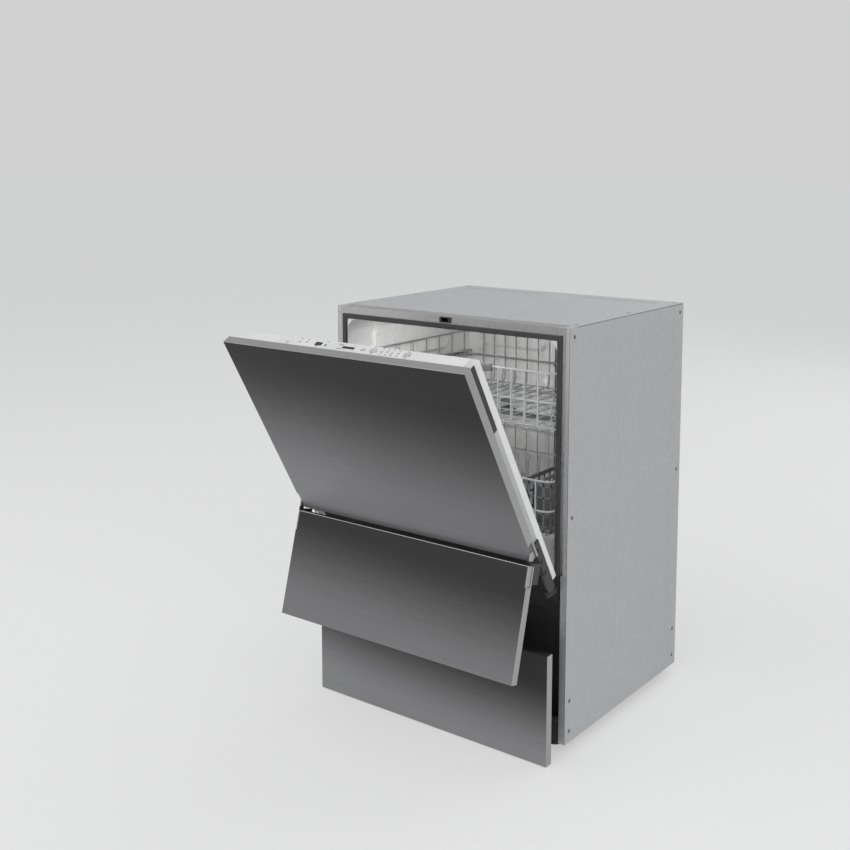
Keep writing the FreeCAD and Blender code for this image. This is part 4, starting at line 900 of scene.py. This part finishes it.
def rack_mesh(half, front, back, floor_level, rim_level, tine_rows, tine_xs, tine_tall):
    """One rack: its long wires, cross wires, two rims and rows of fixed tines."""
    ends, flanks = (front - WIRE_STEP, back + WIRE_STEP), half + WIRE_STEP
    long_wires = [u_path((x, ends[0]), (x, ends[1]), rim_level, floor_level, WIRE_BEND)
                  for x in (sign * (i + 0.5) * LONG_PITCH for i in range(8) for sign in SIDES)
                  if abs(x) < half - 8]
    cross_level = floor_level + CROSS_RISE
    cross_wires = [u_path((-flanks, y), (flanks, y), rim_level, cross_level, WIRE_BEND)
                   for y in (WASH_Y + sign * (i + 0.5) * CROSS_PITCH for i in range(4) for sign in SIDES)
                   if front + 6 < y < back - 6]
    rims = [rounded_path([(-half, front, z), (half, front, z), (half, back, z), (-half, back, z)],
                         RIM_BEND, True)
            for z in (rim_level, (floor_level + rim_level) / 2)]
    tines = [[(x, y, cross_level), (x, y, cross_level + tine_tall * 0.8), (x, y + 4, cross_level + tine_tall)]
             for y in tine_rows for x in tine_xs]
    rods = [[(tine_xs[0] - 4, y, cross_level), (tine_xs[-1] + 4, y, cross_level)] for y in tine_rows]
    return joined_mesh([wire_mesh(long_wires + cross_wires, THIN_WIRE), wire_mesh(rims, RIM_WIRE, True),
                        wire_mesh(tines + rods, THIN_WIRE)])


RACK_SIDES, RACK_BACK = ("floor", "front", "back", "left", "right"), 506
for rack, half, front, level, rim, tine_rows, tine_xs, tine_tall in (
        ("upper_rack", 244, 100, 650, 770, (170, 420), range(-220, 197, 32), 46),
        ("lower_rack", 240, 96, 424, 548, (197, 249, 353, 405, 457), range(-190, 81, 30), 62)):
    wires = rack_mesh(half, front, RACK_BACK, level, rim, tine_rows, tine_xs, tine_tall)
    set_piece(rack + "_wires", wires, rack, coat, [rack + "_" + part for part in RACK_SIDES])
    grip = blocks_mesh([(-95, 95, front - 9.5, front + 5, rim - 9, rim + 5)], 3.4, 4)
    set_piece(rack + "_grip", grip, rack, grey_plastic)
RUNNER_X, RUNNER_HALF = 257.9, 7.8
runners = [(*about(side * RUNNER_X, RUNNER_HALF), 115, 491, 703.4, 712.6) for side in SIDES]
set_piece("upper_runners", blocks_mesh(runners, 0.8), "upper_rack", rail_steel)
BUSH = [(6.1, 0), (14, 0), (14, 9.6), (6.1, 9.6), (6.1, 0)]
set_piece("spray_bush", turned(BUSH, UP, (0, WASH_Y, 646.8), 32), "upper_rack", grey_plastic)
HANGER_X, HANGER_THICK, HANGER_HALF, WHEEL_YS, AXLE_Z = 247.2, 1.5, 14, (140, 450), 390.3
AXLE = [(0, 0), (4, 0), (4, 14.2), (0, 14.2)]
hangers = []
for side in SIDES:
    for y in WHEEL_YS:
        hangers.append(blocks_mesh([(*about(side * HANGER_X, HANGER_THICK), *about(y, HANGER_HALF),
                                     382.4, 440)], 1.2))
        hangers.append(turned(AXLE, (side, 0, 0), (side * (HANGER_X - HANGER_THICK), y, AXLE_Z)))
set_piece("wheel_hangers", joined_mesh(hangers), "lower_rack", grey_plastic)

# Fold-down tines: one row of coated wire tines, welded to a rod of their own that turns on the lower rack's
# floor wires.
FOLD_Y, FOLD_Z = 300, 427.3
fold_tines = [[(x, FOLD_Y, FOLD_Z), (x, FOLD_Y, 480), (x, FOLD_Y + 3, 497)]
              for x in (-202 + 30 * i for i in range(11))]
fold_rod = [(-205.2, FOLD_Y, FOLD_Z), (101.2, FOLD_Y, FOLD_Z)]
set_piece("fold_tines", wire_mesh(fold_tines + [fold_rod], THIN_WIRE), "tine_row", coat,
          ("lower_tines",))

# Wheels: moulded nylon rollers with a flange and a dished hub. Two in front and two behind turn on the
# axles of the lower rack's hangers.
wheel_plastic = moulding("wheel_plastic", (0.30, 0.31, 0.32), (0.36, 0.37, 0.38), 0.35, 0.45)
WHEEL_X = 249.9
WHEEL = [(4.05, 0.4), (8, 0.4), (9.5, 2.4), (12.5, 2.4), (13.5, 0), (15.2, 0), (16, 0.8), (16, 3.4),
         (14.6, 4.2), (14.6, 9.2), (13.4, 10), (11.5, 8.2), (8, 8.2), (6.5, 9.6), (4.05, 9.6), (4.05, 0.4)]
for end, y in zip(("front", "rear"), WHEEL_YS):
    wheels = turned_row(WHEEL, [((side, 0, 0), (side * WHEEL_X, y, AXLE_Z)) for side in SIDES], 36)
    reformed("lower_wheels_" + end, wheels, wheel_plastic)

# Cutlery basket: a box moulded in grey plastic as a lattice of bars, with two inner walls and a carrying
# bow. It stands on the floor wires of the lower rack and lifts out.
BASKET_X0, BASKET_X1, BASKET_Y0, BASKET_Y1, BASKET_Z0, BASKET_Z1 = 150, 222, 130, 330, 429, 534
WALL = 2.5
basket_width, basket_depth = BASKET_X1 - BASKET_X0, BASKET_Y1 - BASKET_Y0
side_walls = ((BASKET_X0, BASKET_X0 + WALL), (BASKET_X1 - WALL, BASKET_X1))
end_walls = ((BASKET_Y0, BASKET_Y0 + WALL), (BASKET_Y1 - WALL, BASKET_Y1))
lattice = [(*wall, max(BASKET_Y0, y - WALL), min(BASKET_Y1, y + WALL), BASKET_Z0, BASKET_Z1)
           for y in (BASKET_Y0 + WALL / 2 + i * (basket_depth - WALL) / 9 for i in range(10))
           for wall in side_walls]
lattice += [(*about(BASKET_X0 + i * basket_width / 4, WALL), *wall, BASKET_Z0, BASKET_Z1)
            for i in range(1, 4) for wall in end_walls]
for band in ((BASKET_Z0, BASKET_Z0 + 6), (466, 471), (500, 505), (BASKET_Z1 - 8, BASKET_Z1)):
    lattice += [(*wall, BASKET_Y0, BASKET_Y1, *band) for wall in side_walls]
    lattice += [(BASKET_X0, BASKET_X1, *wall, *band) for wall in end_walls]
lattice += [(BASKET_X0, BASKET_X1, *about(y, 1), BASKET_Z0, BASKET_Z0 + 2.5) for y in range(142, 324, 12)]
lattice += [(*about(x, 1), BASKET_Y0, BASKET_Y1, BASKET_Z0, BASKET_Z0 + 2.4) for x in range(162, 211, 12)]
lattice += [(BASKET_X0 + 1, BASKET_X1 - 1, *about(y, 1), BASKET_Z0, 520) for y in (180, 280)]
BOW_X, BOW_FRONT, BOW_BACK, BOW_FOOT, BOW_TOP = 186, 150, 310, 500, 533
bow = u_path((BOW_X, BOW_FRONT), (BOW_X, BOW_BACK), BOW_FOOT, BOW_TOP, 16)
basket = joined_mesh([blocks_mesh(lattice, 0.5, 1), wire_mesh([bow], 3.0, resolution=3)])
reformed("cutlery_basket", basket, grey_plastic)

# Spray arms: hollow plastic blades with rounded tips, a hub in the middle and rows of jets on top. The
# lower one turns on the sump's spindle, the upper one in a bush under the upper rack.
BLADE_REACH, BLADE_HALF, BLADE_THICK, BLADE_TAPER = 205, 18, 9, 5
TIP_FROM, TIP_ROUND, TIP_HALF, BLADE_SIDES = 187, 18.2, 1.5, 16
STATIONS = [-205, -203, -196, -180, -120, -60, -24, 0, 24, 60, 120, 180, 196, 203, 205]


def blade_mesh(low):
    """A spray arm's blade: flattened rings along its length, narrower towards the rounded tips."""
    form = bmesh.new()
    middle = low + BLADE_THICK / 2
    rings = []
    for x in STATIONS:
        share = abs(x) / BLADE_REACH
        rounding = max(0.0, (abs(x) - TIP_FROM) / TIP_ROUND)
        half = (BLADE_HALF - BLADE_TAPER * share) * math.sqrt(max(0.0, 1 - rounding ** 2))
        tall = BLADE_THICK * (1 - 0.25 * share) / 2
        if abs(x) == BLADE_REACH:
            half, tall = TIP_HALF, tall * 0.5
        ring = []
        for k in range(BLADE_SIDES):
            angle = 2 * math.pi * k / BLADE_SIDES
            c, s = math.cos(angle), math.sin(angle)
            ring.append(form.verts.new((x, WASH_Y + half * math.copysign(abs(c) ** 0.7, c),
                                        middle + tall * math.copysign(abs(s) ** 0.6, s))))
        rings.append(ring)
    bridge(form, rings)
    form.faces.new(rings[0])
    form.faces.new(rings[-1])
    return mesh_from(form)


JET = [(0, 0), (2.6, 0), (3.0, 0.3), (2.2, 0.6), (0, 0.3)]
JET_XS = [-190, -165, -140, -115, -80, -50, 50, 80, 115, 140, 165, 190]
JET_LIFT = 8.4
LOWER_HUB = [(12.1, 0), (20, 0), (20, 14), (18, 18), (18, 27), (14, 28.5), (0, 28.5), (0, 18.4), (12.1, 18.4),
             (12.1, 0)]
UPPER_HUB = [(0, 0), (18, 0), (20, 2), (20, 16), (14, 18), (6, 18.4), (6, 34.4), (0, 34.4)]
for spray, blade_low, hub, hub_low in (("lower_spray", 396, LOWER_HUB, 378),
                                       ("upper_spray", 622, UPPER_HUB, 622)):
    arm = joined_mesh([blade_mesh(blade_low), turned(hub, UP, (0, WASH_Y, hub_low), 36)])
    reformed(spray + "_arm", arm, grey_plastic)
    jet_spots = [(UP, (x, WASH_Y + across, blade_low + JET_LIFT))
                 for x in JET_XS for across in ((6, -6) if abs(x) < 100 else (3,))]
    set_piece(spray + "_jets", turned_row(JET, jet_spots, 14), spray, black_plastic_and_shade)

# Filter cup: a moulded grey cup with a cross grip, dropped into the well in the tub floor. A quarter turn
# locks it.
formed("filter_cup", 1.0, grey_plastic)
